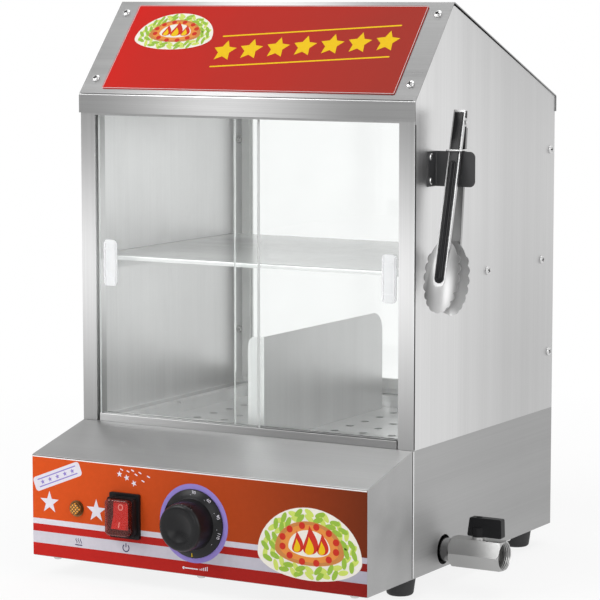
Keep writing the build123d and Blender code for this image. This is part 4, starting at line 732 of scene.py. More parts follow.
def flame(width: float, height: float, steps: int = 16) -> list[Point2]:
    """Outline of a flame: a drop whose tip leans to one side."""
    points = []
    for k in range(steps * 2):
        t = tau * k / (steps * 2)
        rise = (1 - cos(t)) / 2
        swell = sin(t) * (1 - rise) ** 0.6 * (0.55 + 0.45 * (1 - rise))
        lean = 0.16 * sin(pi * rise) * width
        points.append((swell * width * 0.85 + lean, rise * height - height / 2))
    return points


def ribbon(length: float, thickness: float, sway: float, waves: float,
           steps: int = 28) -> list[Point2]:
    """Outline of an upright wavy band with tapering ends."""
    right, left = [], []
    for k in range(steps + 1):
        s = k / steps
        middle = sway * sin(tau * waves * s)
        half = thickness / 2 * (0.35 + 0.65 * sin(pi * s))
        y = (s - 0.5) * length
        right.append((middle + half, y))
        left.append((middle - half, y))
    return right + left[::-1]


def dome(width: float, height: float, steps: int = 26) -> list[Point2]:
    """Outline of a low dome with rounded feet."""
    points = []
    for k in range(steps + 1):
        angle = pi * k / steps
        points.append((width / 2 * cos(angle), -height * 0.18 + height * 0.68 * sin(angle)))
    for k in range(1, steps):
        angle = pi + pi * k / steps
        points.append((width / 2 * cos(angle), -height * 0.18 + height * 0.32 * sin(angle)))
    return points


def shifted(outline: list[Point2], x: float, y: float, turn: float = 0.0) -> list[Point2]:
    """An outline turned by degrees and moved."""
    c, s = cos(radians(turn)), sin(radians(turn))
    return [(x + c * px - s * py, y + s * px + c * py) for px, py in outline]


# ---------------------------------------------------------------- meshes
def finish_mesh(name: str, bm: BMesh, material: Material, smooth_angle: float = 35.0) -> Object:
    """Turn a worked mesh into an object of the scene.

    Args:
        name: The object's name.
        bm: The mesh, which is freed.
        material: Its finish.
        smooth_angle: Edges sharper than this many degrees stay sharp.

    Returns:
        The object, at the origin.
    """
    bmesh.ops.remove_doubles(bm, verts=bm.verts, dist=SAME)
    bmesh.ops.recalc_face_normals(bm, faces=bm.faces)
    mesh = bpy.data.meshes.new(name)
    bm.to_mesh(mesh)
    bm.free()
    return as_object(name, mesh, material, smooth_angle)


def linked(name: str, data: bpy.types.ID) -> Object:
    """New object of the scene."""
    thing = bpy.data.objects.new(name, data)
    bpy.context.scene.collection.objects.link(thing)
    return thing


def baked(thing: Object) -> Mesh:
    """Mesh that an object's modifiers give; the object is removed."""
    graph = bpy.context.evaluated_depsgraph_get()
    mesh = bpy.data.meshes.new_from_object(thing.evaluated_get(graph), depsgraph=graph)
    bpy.data.objects.remove(thing)
    return mesh


def cut(thing: Object, cutter: Object) -> Modifier:
    """Give an object a modifier that cuts another out of it."""
    modifier = thing.modifiers.new("cut", "BOOLEAN")
    modifier.operation, modifier.solver, modifier.object = "DIFFERENCE", "EXACT", cutter
    return modifier


def as_object(name: str, mesh: Mesh, material: Material | None,
              smooth_angle: float = 35.0) -> Object:
    """Put a mesh into the scene; without a finish it keeps its own."""
    mesh.name = name
    if material is not None:
        mesh.materials.clear()
        mesh.materials.append(material)
    mesh.polygons.foreach_set("use_smooth", [True] * len(mesh.polygons))
    mesh.set_sharp_from_angle(angle=radians(smooth_angle))
    return linked(name, mesh)


def add_slab(bm: BMesh, outline: list[Point2], low: float, high: float, place: Matrix,
             rim: float = 0.0) -> None:
    """Add a closed flat slab to a mesh.

    Args:
        bm: The mesh.
        outline: Its outline in mm.
        low: Height of its back, in mm.
        high: Height of its face, in mm.
        place: Where its local frame stands.
        rim: Width in mm of a bevel round its face.
    """
    levels = [(low, 0.0), (high - rim, 0.0)] if rim > 0 else [(low, 0.0)]
    cx = sum(p[0] for p in outline) / len(outline)
    cy = sum(p[1] for p in outline) / len(outline)
    reach = max(hypot(x - cx, y - cy) for x, y in outline)
    rings = []
    for z, inset in (*levels, (high, rim)):
        share = 1.0 - inset / reach
        rings.append([bm.verts.new(place @ Vector(((cx + (x - cx) * share) * MM,
                                                   (cy + (y - cy) * share) * MM, z * MM)))
                      for x, y in outline])
    count = len(outline)
    for lower, upper in zip(rings, rings[1:]):
        for k in range(count):
            bm.faces.new((lower[k], lower[(k + 1) % count], upper[(k + 1) % count], upper[k]))
    bm.faces.new(rings[0][::-1])
    bm.faces.new(rings[-1])


def lathe(profile: list[Point2], place: Matrix, steps: int) -> BMesh:
    """Mesh of a turned solid.

    Args:
        profile: Radius and height in mm, from the back's centre to the face's centre.
        place: Its local frame; it is turned about Z.
        steps: Number of steps round.
    """
    bm = bmesh.new()
    rings: list[list[BMVert]] = []
    for radius, height in profile:
        if radius <= 1e-6:
            rings.append([bm.verts.new(place @ Vector((0, 0, height * MM)))])
            continue
        rings.append([bm.verts.new(place @ Vector((radius * cos(tau * k / steps) * MM,
                                                   radius * sin(tau * k / steps) * MM,
                                                   height * MM))) for k in range(steps)])
    for lower, upper in zip(rings, rings[1:]):
        for k in range(steps):
            j = (k + 1) % steps
            corners = []
            for vert in (lower[k % len(lower)], lower[j % len(lower)], upper[j % len(upper)],
                         upper[k % len(upper)]):
                if vert not in corners:
                    corners.append(vert)
            if len(corners) > 2:
                bm.faces.new(corners)
    return bm


def ridge(width: float, height: float, length: float, place: Matrix, steps: int = 10) -> BMesh:
    """Mesh of a closed bar with a domed face and rounded ends.

    Args:
        width: Its width along X, in mm.
        height: Height of its dome along Z.
        length: Its length along Y, from the origin.
        place: Its local frame.
        steps: Steps over the dome.
    """
    bm, end = bmesh.new(), width / 2
    stations = [end * (1 - cos(radians(9 + 9 * k))) for k in range(10)]
    stations += [length * k / 12 for k in range(1, 12)] + [length - s for s in reversed(stations)]
    rings = []
    for y in stations:
        near = min(y, length - y, end)
        share = sqrt(1 - (1 - near / end) ** 2)
        arc = [(share * end * cos(pi * k / steps), share * height * sin(pi * k / steps))
               for k in range(steps + 1)]
        rings.append([bm.verts.new(place @ (Vector((x, y, z)) * MM)) for x, z in arc])
    for lower, upper in zip(rings, rings[1:]):
        for k in range(steps + 1):
            j = (k + 1) % (steps + 1)
            bm.faces.new((lower[k], lower[j], upper[j], upper[k]))
    bm.faces.new(rings[0])
    bm.faces.new(rings[-1][::-1])
    return bm


def rounded_profile(radius: float, height: float, edge: float, steps: int = 5) -> list[Point2]:
    """Profile of a disc with a rounded front edge, from the back's centre to the face's."""
    points = [(0.0, 0.0), (radius, 0.0), (radius, height - edge)]
    for k in range(1, steps + 1):
        angle = pi / 2 * k / steps
        points.append((radius - edge + edge * cos(angle), height - edge + edge * sin(angle)))
    return points + [(0.0, height)]


def words_mesh(text: str, size: float, place: Matrix, depth: float) -> Mesh:
    """Closed mesh of a short number, with its height and thickness in mm."""
    curve = bpy.data.curves.new("figures", "FONT")
    curve.body, curve.size, curve.extrude = text, size * MM, depth * MM / 2
    curve.align_x, curve.align_y, curve.resolution_u = "CENTER", "CENTER", 3
    mesh = baked(linked("figures", curve))
    mesh.transform(place)
    return mesh


def slab(outline: list[Point2], low: float, high: float, place: Matrix = FLAT,
         rim: float = 0.0) -> BMesh:
    """Mesh of one slab, as add_slab() adds it."""
    bm = bmesh.new()
    add_slab(bm, outline, low, high, place, rim)
    return bm


def soften(frame: dict, node: str, name: str, material: Material, width: float = 0.35,
           cutter: Object | None = None) -> Object:
    """Piece with a node's shape and eased edges.

    Args:
        frame: The loaded model.
        node: The node it is shaped after.
        name: The new object's name.
        material: Its finish.
        width: Width of the eased edges in mm.
        cutter: Object that is cut out of the shape first, and removed.

    Returns:
        The object, standing for the node.
    """
    bm = bmesh.new()
    bm.from_mesh(frame["nodes"][node].data)
    bmesh.ops.remove_doubles(bm, verts=bm.verts, dist=2e-6)
    bmesh.ops.dissolve_limit(bm, angle_limit=radians(1.0), verts=bm.verts, edges=bm.edges)
    mesh = bpy.data.meshes.new(name)
    bm.to_mesh(mesh)
    bm.free()
    carrier = as_object(name, mesh, material, 89.0)
    if cutter is not None:
        cut(carrier, cutter)
    bevel = carrier.modifiers.new("eased", "BEVEL")
    bevel.width, bevel.segments, bevel.limit_method = width * MM, 2, "ANGLE"
    bevel.angle_limit, bevel.use_clamp_overlap = radians(35.0), True
    even = carrier.modifiers.new("even", "WEIGHTED_NORMAL")
    even.mode, even.weight, even.keep_sharp = "FACE_AREA", 50, True
    mesh = baked(carrier)
    mesh.name = name
    piece = linked(name, mesh)
    if cutter is not None:
        bpy.data.objects.remove(cutter)
    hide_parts(node)
    return piece


# ---------------------------------------------------------------- repeated forms
class Repeat:
    """Geometry Nodes that set one template on many places."""

    FIELDS = (("facing", "FLOAT_VECTOR"), ("turn", "FLOAT"), ("share", "FLOAT"))

    def __init__(self) -> None:
        """Build the trees."""
        self.tree = self._tree()
        self.coil = self._coil()

    @staticmethod
    def _start(name: str, **inputs: str) -> tuple[Layout, dict]:
        """Start a tree that turns a mesh into finished pieces, with more inputs by kind."""
        tree = bpy.data.node_groups.new(name, "GeometryNodeTree")
        for title, kind in {"Blank": "Geometry", **inputs, "Finish": "Material"}.items():
            tree.interface.new_socket(title, in_out="INPUT", socket_type="NodeSocket" + kind)
        tree.interface.new_socket("Pieces", in_out="OUTPUT", socket_type="NodeSocketGeometry")
        sheet = Layout(tree)
        return sheet, sheet.add("NodeGroupInput").outputs

    @staticmethod
    def _close(sheet: Layout, given: dict, geometry: NodeSocket) -> NodeTree:
        """Make the pieces real, give them their finish and close the tree."""
        real = sheet.add("GeometryNodeRealizeInstances", {0: geometry}).outputs[0]
        dressed = sheet.add("GeometryNodeSetMaterial",
                            {"Geometry": real, "Material": given["Finish"]})
        sheet.add("NodeGroupOutput", {0: dressed.outputs[0]})
        return sheet.tree

    @classmethod
    def _tree(cls) -> NodeTree:
        """Template on points, its Z turned to each point's facing and spun by its turn."""
        sheet, given = cls._start("set_on_places", Template="Object")
        facing, turn, share = (
            sheet.add("GeometryNodeInputNamedAttribute", {"Name": title}, data_type=kind).outputs[0]
            for title, kind in cls.FIELDS)
        aimed = sheet.add("FunctionNodeAlignRotationToVector", {"Vector": facing},
                          axis="Z").outputs[0]
        spin = sheet.add("FunctionNodeAxisAngleToRotation", {"Angle": turn}).outputs[0]
        spun = sheet.add("FunctionNodeRotateRotation", {"Rotation": aimed, "Rotate By": spin},
                         rotation_space="LOCAL").outputs[0]
        template = sheet.add("GeometryNodeObjectInfo",
                             {"Object": given["Template"]}).outputs["Geometry"]
        inputs = {"Points": given["Blank"], "Instance": template, "Rotation": spun, "Scale": share}
        spread = sheet.add("GeometryNodeInstanceOnPoints", inputs)
        return cls._close(sheet, given, spread.outputs[0])

    @classmethod
    def _coil(cls) -> NodeTree:
        """Thread ridge: a round section carried along a helix about Z."""
        sizes = dict.fromkeys(("Radius", "Pitch", "Turns", "Ridge"), "Float")
        sheet, given = cls._start("thread_ridge", **sizes)
        inputs = {"Resolution": 28, "Rotations": given["Turns"], "Start Radius": given["Radius"],
                  "End Radius": given["Radius"],
                  "Height": sheet.maths("MULTIPLY", given["Pitch"], given["Turns"])}
        helix = sheet.add("GeometryNodeCurveSpiral", inputs).outputs[0]
        inputs = {"Resolution": 6, "Radius": given["Ridge"]}
        ring = sheet.add("GeometryNodeCurvePrimitiveCircle", inputs)
        swept = sheet.add("GeometryNodeCurveToMesh",
                          {"Curve": helix, "Profile Curve": ring.outputs[0], "Fill Caps": True})
        return cls._close(sheet, given, swept.outputs[0])

    @staticmethod
    def _run(tree: NodeTree, mesh: Mesh, values: dict[str, object], name: str) -> Object:
        """Plain mesh object that a tree makes of a mesh, with values by input name."""
        carrier = linked(name + "_places", mesh)
        modifier = carrier.modifiers.new("repeat", "NODES")
        modifier.node_group = tree
        for item in tree.interface.items_tree:
            if getattr(item, "in_out", "") == "INPUT" and item.name in values:
                modifier[item.identifier] = values[item.name]
        return as_object(name, baked(carrier), None, 40.0)

    def spread(self, name: str, template: Object, places: list[Spot], material: Material) -> Object:
        """One plain mesh object with a template's copies on places; the template is removed."""
        mesh = bpy.data.meshes.new(name + "_points")
        mesh.from_pydata([place[0] for place in places], [], [])
        for title, kind in self.FIELDS:
            mesh.attributes.new(title, kind, "POINT")
        for k, (_, aim, spin, part) in enumerate(places):
            mesh.attributes["facing"].data[k].vector = aim
            mesh.attributes["turn"].data[k].value = spin
            mesh.attributes["share"].data[k].value = part
        thing = self._run(self.tree, mesh, {"Template": template, "Finish": material}, name)
        bpy.data.objects.remove(template)
        return thing

    def thread(self, name: str, place: Matrix, sizes: dict[str, float],
               material: Material) -> Object:
        """Thread ridge about the Z axis of a local frame, with sizes in metres by input name."""
        blank = bpy.data.meshes.new(name + "_blank")
        thing = self._run(self.coil, blank, {**sizes, "Finish": material}, name)
        bm = bmesh.new()
        bm.from_mesh(thing.data)
        bmesh.ops.remove_doubles(bm, verts=bm.verts, dist=SAME)
        bmesh.ops.transform(bm, matrix=place, verts=bm.verts)
        bmesh.ops.recalc_face_normals(bm, faces=bm.faces)
        bm.to_mesh(thing.data)
        bm.free()
        return thing


# ---------------------------------------------------------------- what every sub-assembly shares
@dataclass
class Kit:
    """Loaded model, axes, finishes and repeat trees that the sub-assemblies share."""

    frame: dict
    datum: Datum
    palette: Palette
    repeat: Repeat

    def paint(self, finish: str, *nodes: str) -> None:
        """Give nodes of the solid model a finish."""
        for node in nodes:
            thing = self.frame["nodes"][node]
            if not thing.material_slots:
                thing.data.materials.append(self.palette.get(finish))
            for slot in thing.material_slots:
                slot.material = self.palette.get(finish)

    def eased(self, finish: str, body: str, *nodes: str, width: float = 0.35) -> None:
        """Replace nodes by copies with eased edges, riding on a body."""
        for node in nodes:
            material = self.palette.get(finish)
            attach(soften(self.frame, node, node + "_dressed", material, width), body)

    def put(self, name: str, bm: BMesh, finish: str, body: str = "body", node: str = "",
            angle: float = 35.0) -> None:
        """Turn a worked mesh into a piece that rides on a body, and may stand for a node."""
        piece = finish_mesh(name, bm, self.palette.get(finish), angle)
        if node:
            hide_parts(node)
        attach(piece, body)

    def scatter(self, name: str, template: BMesh | Object, finish: str, places: list[Spot],
                body: str = "body", node: str = "") -> None:
        """Set copies of a template on places, as one piece that may stand for a node."""
        material = self.palette.get(finish)
        if isinstance(template, BMesh):
            template = finish_mesh(name + "_template", template, material)
        piece = self.repeat.spread(name, template, places, material)
        if node:
            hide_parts(node)
        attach(piece, body)

    def strip(self, name: str, finish: str, low: Vector, high: Vector, out: Axis, side: int,
              body: str = "body") -> None:
        """Thin strip lying on an upright face that looks along an axis.

        Args:
            name: The object's name.
            finish: Its finish.
            low: Its lowest corner on the face, in metres.
            high: Its highest corner on the face.
            out: Axis that the face looks along.
            side: 1 or -1 along that axis.
            body: What it rides on.
        """
        right = UP.cross(Vector(out.unit) * side)
        place = axes((low + high) / 2, right, UP)
        size = high - low
        wide, tall = abs(size.dot(right)) / MM, abs(size.dot(UP)) / MM
        outline = rounded_rectangle(wide, tall, min(wide, tall) * 0.3, 2)
        self.printed(name, [outline], finish, place, 0, body)

    def printed(self, name: str, outlines: list[list[Point2]], finish: str, place: Matrix,
                level: int = 0, body: str = "body") -> None:
        """Thin print of outlines on a face, lying over as many prints as its level says."""
        bm = bmesh.new()
        for outline in outlines:
            add_slab(bm, outline, PRINT_BACK, PRINT_FACE + PRINT_STEP * level, place)
        self.put(name, bm, finish, body, angle=20.0)


# ---------------------------------------------------------------- printed pictures
@dataclass
class Medallion:
    """Plain picture of flames in a wreath of leaves on a pale domed ground."""

    kit: Kit
    name: str
    width: float
    height: float

    def build(self, place: Matrix) -> None:
        """Lay the ground, a wreath of leaves, the warm field, the flames and beads."""
        w, h = self.width, self.height
        layer = self.kit.printed
        ground = dome(w, h)
        layer(self.name + "_ground", [ground], "ink_cream", place)
        for k, ink in enumerate(("ink_leaf", "ink_green", "ink_leaf", "ink_green")):
            wreath = [self._leaf(ground, j * 2 * tau / 32 + k * tau / 32, 0.86 - 0.15 * (k // 2),
                                 32 if k % 2 else -32) for j in range(16)]
            layer(f"{self.name}_leaves_{k}", wreath, ink, place, 1 + k)
        fields = (("ink_tan", 0.66), ("ink_orange", 0.56), ("ink_cream", 0.40))
        for k, (ink, share) in enumerate(fields):
            field = [(x * share, y * share * 0.92 + h * 0.01) for x, y in ground]
            layer(f"{self.name}_field_{k}", [field], ink, place, 5 + k)
        beads = [shifted(ellipse(w * 0.030, h * 0.048, 16), w * 0.265 * cos(t), h * 0.255 * sin(t))
                 for t in (tau * (j + 0.5) / 12 for j in range(12))]
        layer(self.name + "_beads", beads, "ink_red", place, 8)
        for title, ink, level, wide, high, spots in (
                ("flames", "ink_red", 9, 0.13, 0.40,
                 ((-0.12, 0.02, 0.75), (0.0, 0.06, 1.0), (0.12, 0.02, 0.75))),
                ("hearts", "ink_yellow", 10, 0.074, 0.25,
                 ((-0.122, -0.03, 0.75), (-0.004, -0.02, 1.0), (0.116, -0.03, 0.75)))):
            fire = [shifted(flame(w * wide * size, h * high * size), x * w, y * h)
                    for x, y, size in spots]
            layer(f"{self.name}_{title}", fire, ink, place, level)

    def _leaf(self, ground: list[Point2], turn: float, share: float, tilt: float) -> list[Point2]:
        """One leaf of the wreath, at an angle round the ground's outline."""
        x, y = min(ground, key=lambda point: abs(remainder(
            atan2(point[1] / self.height, point[0] / self.width) - turn, tau)))
        along = degrees(atan2(x / self.width, -y / self.height))
        return shifted(ellipse(self.width * 0.050, self.height * 0.038, 14), x * share, y * share,
                       along + tilt)


@dataclass
class Pictogram:
    """Small printed sign that stands for a control."""

    kit: Kit
    kind: Mark
    size: float
    ink: str

    def build(self, name: str, place: Matrix) -> None:
        """Print the sign at a place."""
        signs = {Mark.HEAT: self._heat, Mark.POWER: self._power, Mark.DIAL: self._dial}
        self.kit.printed(name, signs[self.kind](), self.ink, place)

    def _heat(self) -> list[list[Point2]]:
        """Three rising waves over a bar."""
        s = self.size
        waves = [shifted(ribbon(s * 0.72, s * 0.13, s * 0.09, 1.0), (k - 1) * s * 0.34, s * 0.10)
                 for k in range(3)]
        return waves + [shifted(rounded_rectangle(s * 1.1, s * 0.13, s * 0.05, 3), 0, -s * 0.42)]

    def _power(self) -> list[list[Point2]]:
        """Open ring with a bar in its gap."""
        s = self.size
        start, end, steps = radians(128), radians(412), 30
        turns = [start + (end - start) * k / steps for k in range(steps + 1)]
        outer = [(s * 0.46 * cos(t), s * 0.46 * sin(t)) for t in turns]
        inner = [(s * 0.34 * cos(t), s * 0.34 * sin(t)) for t in reversed(turns)]
        return [outer + inner,
                shifted(rounded_rectangle(s * 0.12, s * 0.46, s * 0.05, 3), 0, s * 0.30)]

    def _dial(self) -> list[list[Point2]]:
        """Thermometer lying between growing bars."""
        s = self.size
        stem = rounded_rectangle(s * 2.4, s * 0.16, s * 0.07, 3)
        bulb = shifted(ellipse(s * 0.20, s * 0.20, 20), -s * 1.25, 0)
        bars = [shifted(rounded_rectangle(s * 0.14, s * (0.22 + 0.10 * k), s * 0.05, 3),
                        s * (1.55 + 0.30 * k), s * (0.01 + 0.05 * k)) for k in range(5)]
        return [stem, bulb] + bars


# ---------------------------------------------------------------- cabinet and roof
@dataclass
class Cabinet:
    """Brushed sheet body with its tracks, windows, shelf, tray and divider."""

    kit: Kit

    SHEETS = (("steel_base", "base_casing"), ("steel_panel", "side_panel_left"),
              ("steel_panel", "side_panel_right"), ("steel_posts", "front_frame"),
              ("steel_rear", "rear_frame"), ("steel_roof", "roof"), ("steel_sill", "lower_track"))
    LOOSE = (("steel_shelf", "bun_shelf"), ("steel_divider", "divider"))
    PLAIN = (("steel_plain", "rear_wall", "deck_plate", "upper_track", "bottom_plate"),
             ("steel_inside", "water_tank", "shelf_rails", "tray_frame", "tray_floor"),
             ("clear_glass", "rear_glass"), ("silicone_pale", "rear_seal"),
             ("black_rubber", "feet"), ("steel_element", "heating_element"),
             ("zinc_bright", "hex_nuts", "element_fittings"), ("black_plastic", "cable_gland"),
             ("copper_tube", "thermostat_bulb"),
             ("white_moulding", "terminal_block", "thermostat_body", "valve_seats"))

    def build(self) -> None:
        """Dress every sheet of the cabinet."""
        for finish, node in self.SHEETS:
            self.kit.eased(finish, "body", node)
        for finish, node in self.LOOSE:
            self.kit.eased(finish, node, node, width=0.3)
        for finish, *nodes in self.PLAIN:
            self.kit.paint(finish, *nodes)
        self._seams()

    def _seams(self) -> None:
        """Painted shadow strips in the gaps beside the posts and along the console's joint, a
        painted highlight along the joint's bend, and a line of painted shade in the eaves' crease.
        """
        at = self.kit.datum.at
        for side, label in ((-1, "left"), (1, "right")):
            x = side * HALF_WIDTH
            for name, finish, y0, y1, z0, z1 in (
                    ("post_gap", "gap_shadow", 1.0, 2.6, DECK + 0.4, EAVES - 21.0),
                    ("joint_gap", "gap_shadow", -1.3, -0.1, BASE + 0.6, DECK - 0.6),
                    ("joint_bend", "painted_bend_highlight", 0.0, 1.8, BASE + 0.6, DECK - 0.6)):
                self.kit.strip(f"{name}_{label}", finish, at(x, y0, z0), at(x, y1, z1), Axis.X,
                               side)
        self.kit.strip("eaves_crease", "painted_crease_shade", at(-169.0, -1.3, EAVES - 1.0),
                       at(169.0, -1.3, EAVES - 0.3), Axis.Y, -1)


@dataclass
class Sign:
    """Printed sign on the roof's front slope."""

    kit: Kit
    length: float = 97.2
    star_pitch: float = 26.5
    star_climb: float = 2.1
    rule_turn: float = 4.53

    def build(self) -> None:
        """Print the sign's colour, border, star row and medallion."""
        box = Box.of("sign_panel")
        self.kit.palette.add(SignPrint("sign_print", (0.51, 0.013, 0.009), (0.30, 0.029, 0.020),
                                       box.low.x, box.high.x))
        self.kit.paint("sign_print", "sign_panel")
        pitch = atan2(RISE, SETBACK)
        corner = Vector((box.centre.x, box.low.y, box.high.z - self.length * MM * sin(pitch)))
        place = axes(corner, RIGHT, Vector((0.0, cos(pitch), sin(pitch))))
        self._border(place, box.size.x / MM)
        self._stars(place)
        corner = place @ Matrix.Translation(Vector((-97.0, 66.5, 0.0)) * MM)
        Medallion(self.kit, "sign_medallion", 82.0, 42.0).build(corner)

    def _border(self, place: Matrix, width: float) -> None:
        """Thin pale line round the sign."""
        level = rounded_rectangle(width - 1.2, 0.4, 0.1, 2)
        upright = rounded_rectangle(0.4, self.length - 2.0, 0.1, 2)
        bars = [shifted(level, 0, y) for y in (0.7, self.length - 0.7)]
        bars += [shifted(upright, side * (width / 2 - 0.8), self.length / 2) for side in (-1, 1)]
        self.kit.printed("sign_border", bars, "ink_silver", place)

    def _stars(self, place: Matrix) -> None:
        """Row of stars that climbs to the right between two thin rules."""
        facing = place.to_3x3() @ UP
        spots = []
        for k in range(7):
            local = Vector((-37.0 + self.star_pitch * k, 44.5 + self.star_climb * k, 0.0)) * MM
            spots.append((place @ local, facing, 0.0, 1.0))
        template = slab(star(12.0, 0.50), PRINT_BACK, 0.12)
        self.kit.scatter("sign_stars", template, "ink_yellow", spots)
        rule = rounded_rectangle(176.0, 1.5, 0.7, 3)
        rules = [shifted(rule, 42.5, y, self.rule_turn) for y in (33.5, 68.2)]
        self.kit.printed("sign_rules", rules, "ink_yellow", place)


# ---------------------------------------------------------------- fasteners
@dataclass
class Fasteners:
    """Pan-head screws with cross recesses, and plain rivets."""

    kit: Kit
    head_radius: float = 3.9
    head_height: float = 2.4
    shank_radius: float = 2.0
    reach: float = 5.6
    depth: float = 280.0
    inset: float = 10.0
    shelf_screws_y: tuple[float, ...] = (26.0, 139.5, 253.0)
    shelf_screws_z: float = 270.8
    edge_screws: tuple[float, ...] = (54.0, 243.0)
    roof_screws: tuple[float, ...] = (16.0, 93.0)
    rear_eaves: float = 422.0

    def build(self) -> None:
        """Set the screws on the panels, roof and base."""
        places = self._places()
        self.kit.scatter("panel_screws_dressed", self._template(), "steel_polished", places,
                         node="panel_screws")
        # Painted shade: dark crossed bars sitting inside the screws' cross recesses.
        shade = self._cross(self.head_radius * 1.12, self.head_radius * 0.29, 0.3,
                            self.head_height * 0.3, self.head_height * 0.72)
        self.kit.scatter("panel_screw_recesses", shade, "gap_shadow", places)
        self.kit.paint("zinc_bright", "base_screws")
        self.kit.paint("steel_polished", "holder_rivets")

    @staticmethod
    def _cross(length: float, width: float, corner: float, low: float, high: float) -> BMesh:
        """Two crossed bars, for the recess and its shade."""
        bm = bmesh.new()
        bar = rounded_rectangle(length, width, corner, 2)
        for turn in (0.0, 90.0):
            add_slab(bm, shifted(bar, 0, 0, turn), low, high, FLAT)
        return bm

    def _template(self) -> Object:
        """Pan head with a cross recess over a plain shank, standing on Z."""
        radius, height = self.head_radius, self.head_height
        steel = self.kit.palette.get("steel_polished")
        edge = [(radius * cos(a), height * 0.42 + height * 0.58 * sin(a))
                for a in (radians(15 * k) for k in range(6))]
        profile = [(0.0, -self.reach), (self.shank_radius, -self.reach), (self.shank_radius, 0.0),
                   (radius, 0.0), *edge, (0.0, height)]
        blank = finish_mesh("screw_blank", lathe(profile, FLAT, 24), steel)
        recess = self._cross(radius * 1.15, radius * 0.30, radius * 0.1,
                             height * 0.35, height * 1.3)
        cutter = finish_mesh("screw_recess", recess, steel)
        cut(blank, cutter).use_self = True
        mesh = baked(blank)
        bpy.data.objects.remove(cutter)
        return as_object("screw_template", mesh, steel, 40.0)

    def _places(self) -> list[Spot]:
        """Screws of both side panels and both slopes of the roof."""
        at = self.kit.datum.at
        sides = [(y, self.shelf_screws_z) for y in self.shelf_screws_y]
        sides += [(self.depth - self.inset, DECK + z) for z in self.edge_screws]
        places = [(at(side * HALF_WIDTH, y, z), Vector((side, 0, 0)), 0.4 + 0.7 * k, 1.0)
                  for k, (y, z) in enumerate(sides) for side in (-1, 1)]
        slopes = ((0.0, EAVES, atan2(RISE, SETBACK), 1, 0.3),
                  (self.depth, self.rear_eaves,
                   atan2(EAVES + RISE - self.rear_eaves, self.depth - SETBACK), -1, 0.5))
        for k, along in enumerate(self.roof_screws):
            for x in (self.inset - HALF_WIDTH, HALF_WIDTH - self.inset):
                for y, z, slope, way, turn in slopes:
                    rise, run = sin(slope), cos(slope)
                    spot = at(x, y + way * along * run, z + along * rise)
                    places.append((spot, Vector((0, -way * rise, run)), turn + 0.9 * k, 1.0))
        return places


# ---------------------------------------------------------------- doors
@dataclass
class Doors:
    """Two sliding panes with moulded finger pulls."""

    kit: Kit
    rim: float = 1.4

    def build(self) -> None:
        """Dress the panes and mould their pulls."""
        self.kit.paint("clear_glass", "door_glass_left", "door_glass_right")
        for side in ("left", "right"):
            self._pull(f"door_handle_{side}", f"door_{side}")
            self._edge_highlights(f"door_glass_{side}", f"door_{side}")

    def _edge_highlights(self, node: str, body: str) -> None:
        """Painted highlight strips on a pane's ground edges."""
        box = Box.of(node)
        inset = Vector((0, 0.3, 1.5)) * MM
        for side, x, label in ((-1, box.low.x, "a"), (1, box.high.x, "b")):
            low = Vector((x, box.low.y, box.low.z)) + inset
            high = Vector((x, box.high.y, box.high.z)) - inset
            self.kit.strip(f"{node}_edge_{label}", "glass_edge_highlight", low, high, Axis.X, side, body)

    def _pull(self, node: str, body: str) -> None:
        """Pull with a raised rim round a dished face and ridges across it."""
        box = Box.of(node)
        wide, thick, high = box.size / MM
        bm = slab(rounded_rectangle(wide, high, 4.0), 0.0, thick * 0.55, box.back, 0.4)
        rim = rounded_rectangle(self.rim, high - 5.0, 0.6, 3)
        bar = rounded_rectangle(wide - 3.4, 1.5, 0.6, 3)
        for side in (-1, 1):
            for outline, face in ((shifted(rim, side * (wide / 2 - 1.6), 0), thick),
                                  (shifted(bar, 0, side * high * 0.31), thick * 0.95)):
                add_slab(bm, outline, thick * 0.5, face, box.back, 0.3)
        self.kit.put(node + "_moulded", bm, "clear_handle", body, node)


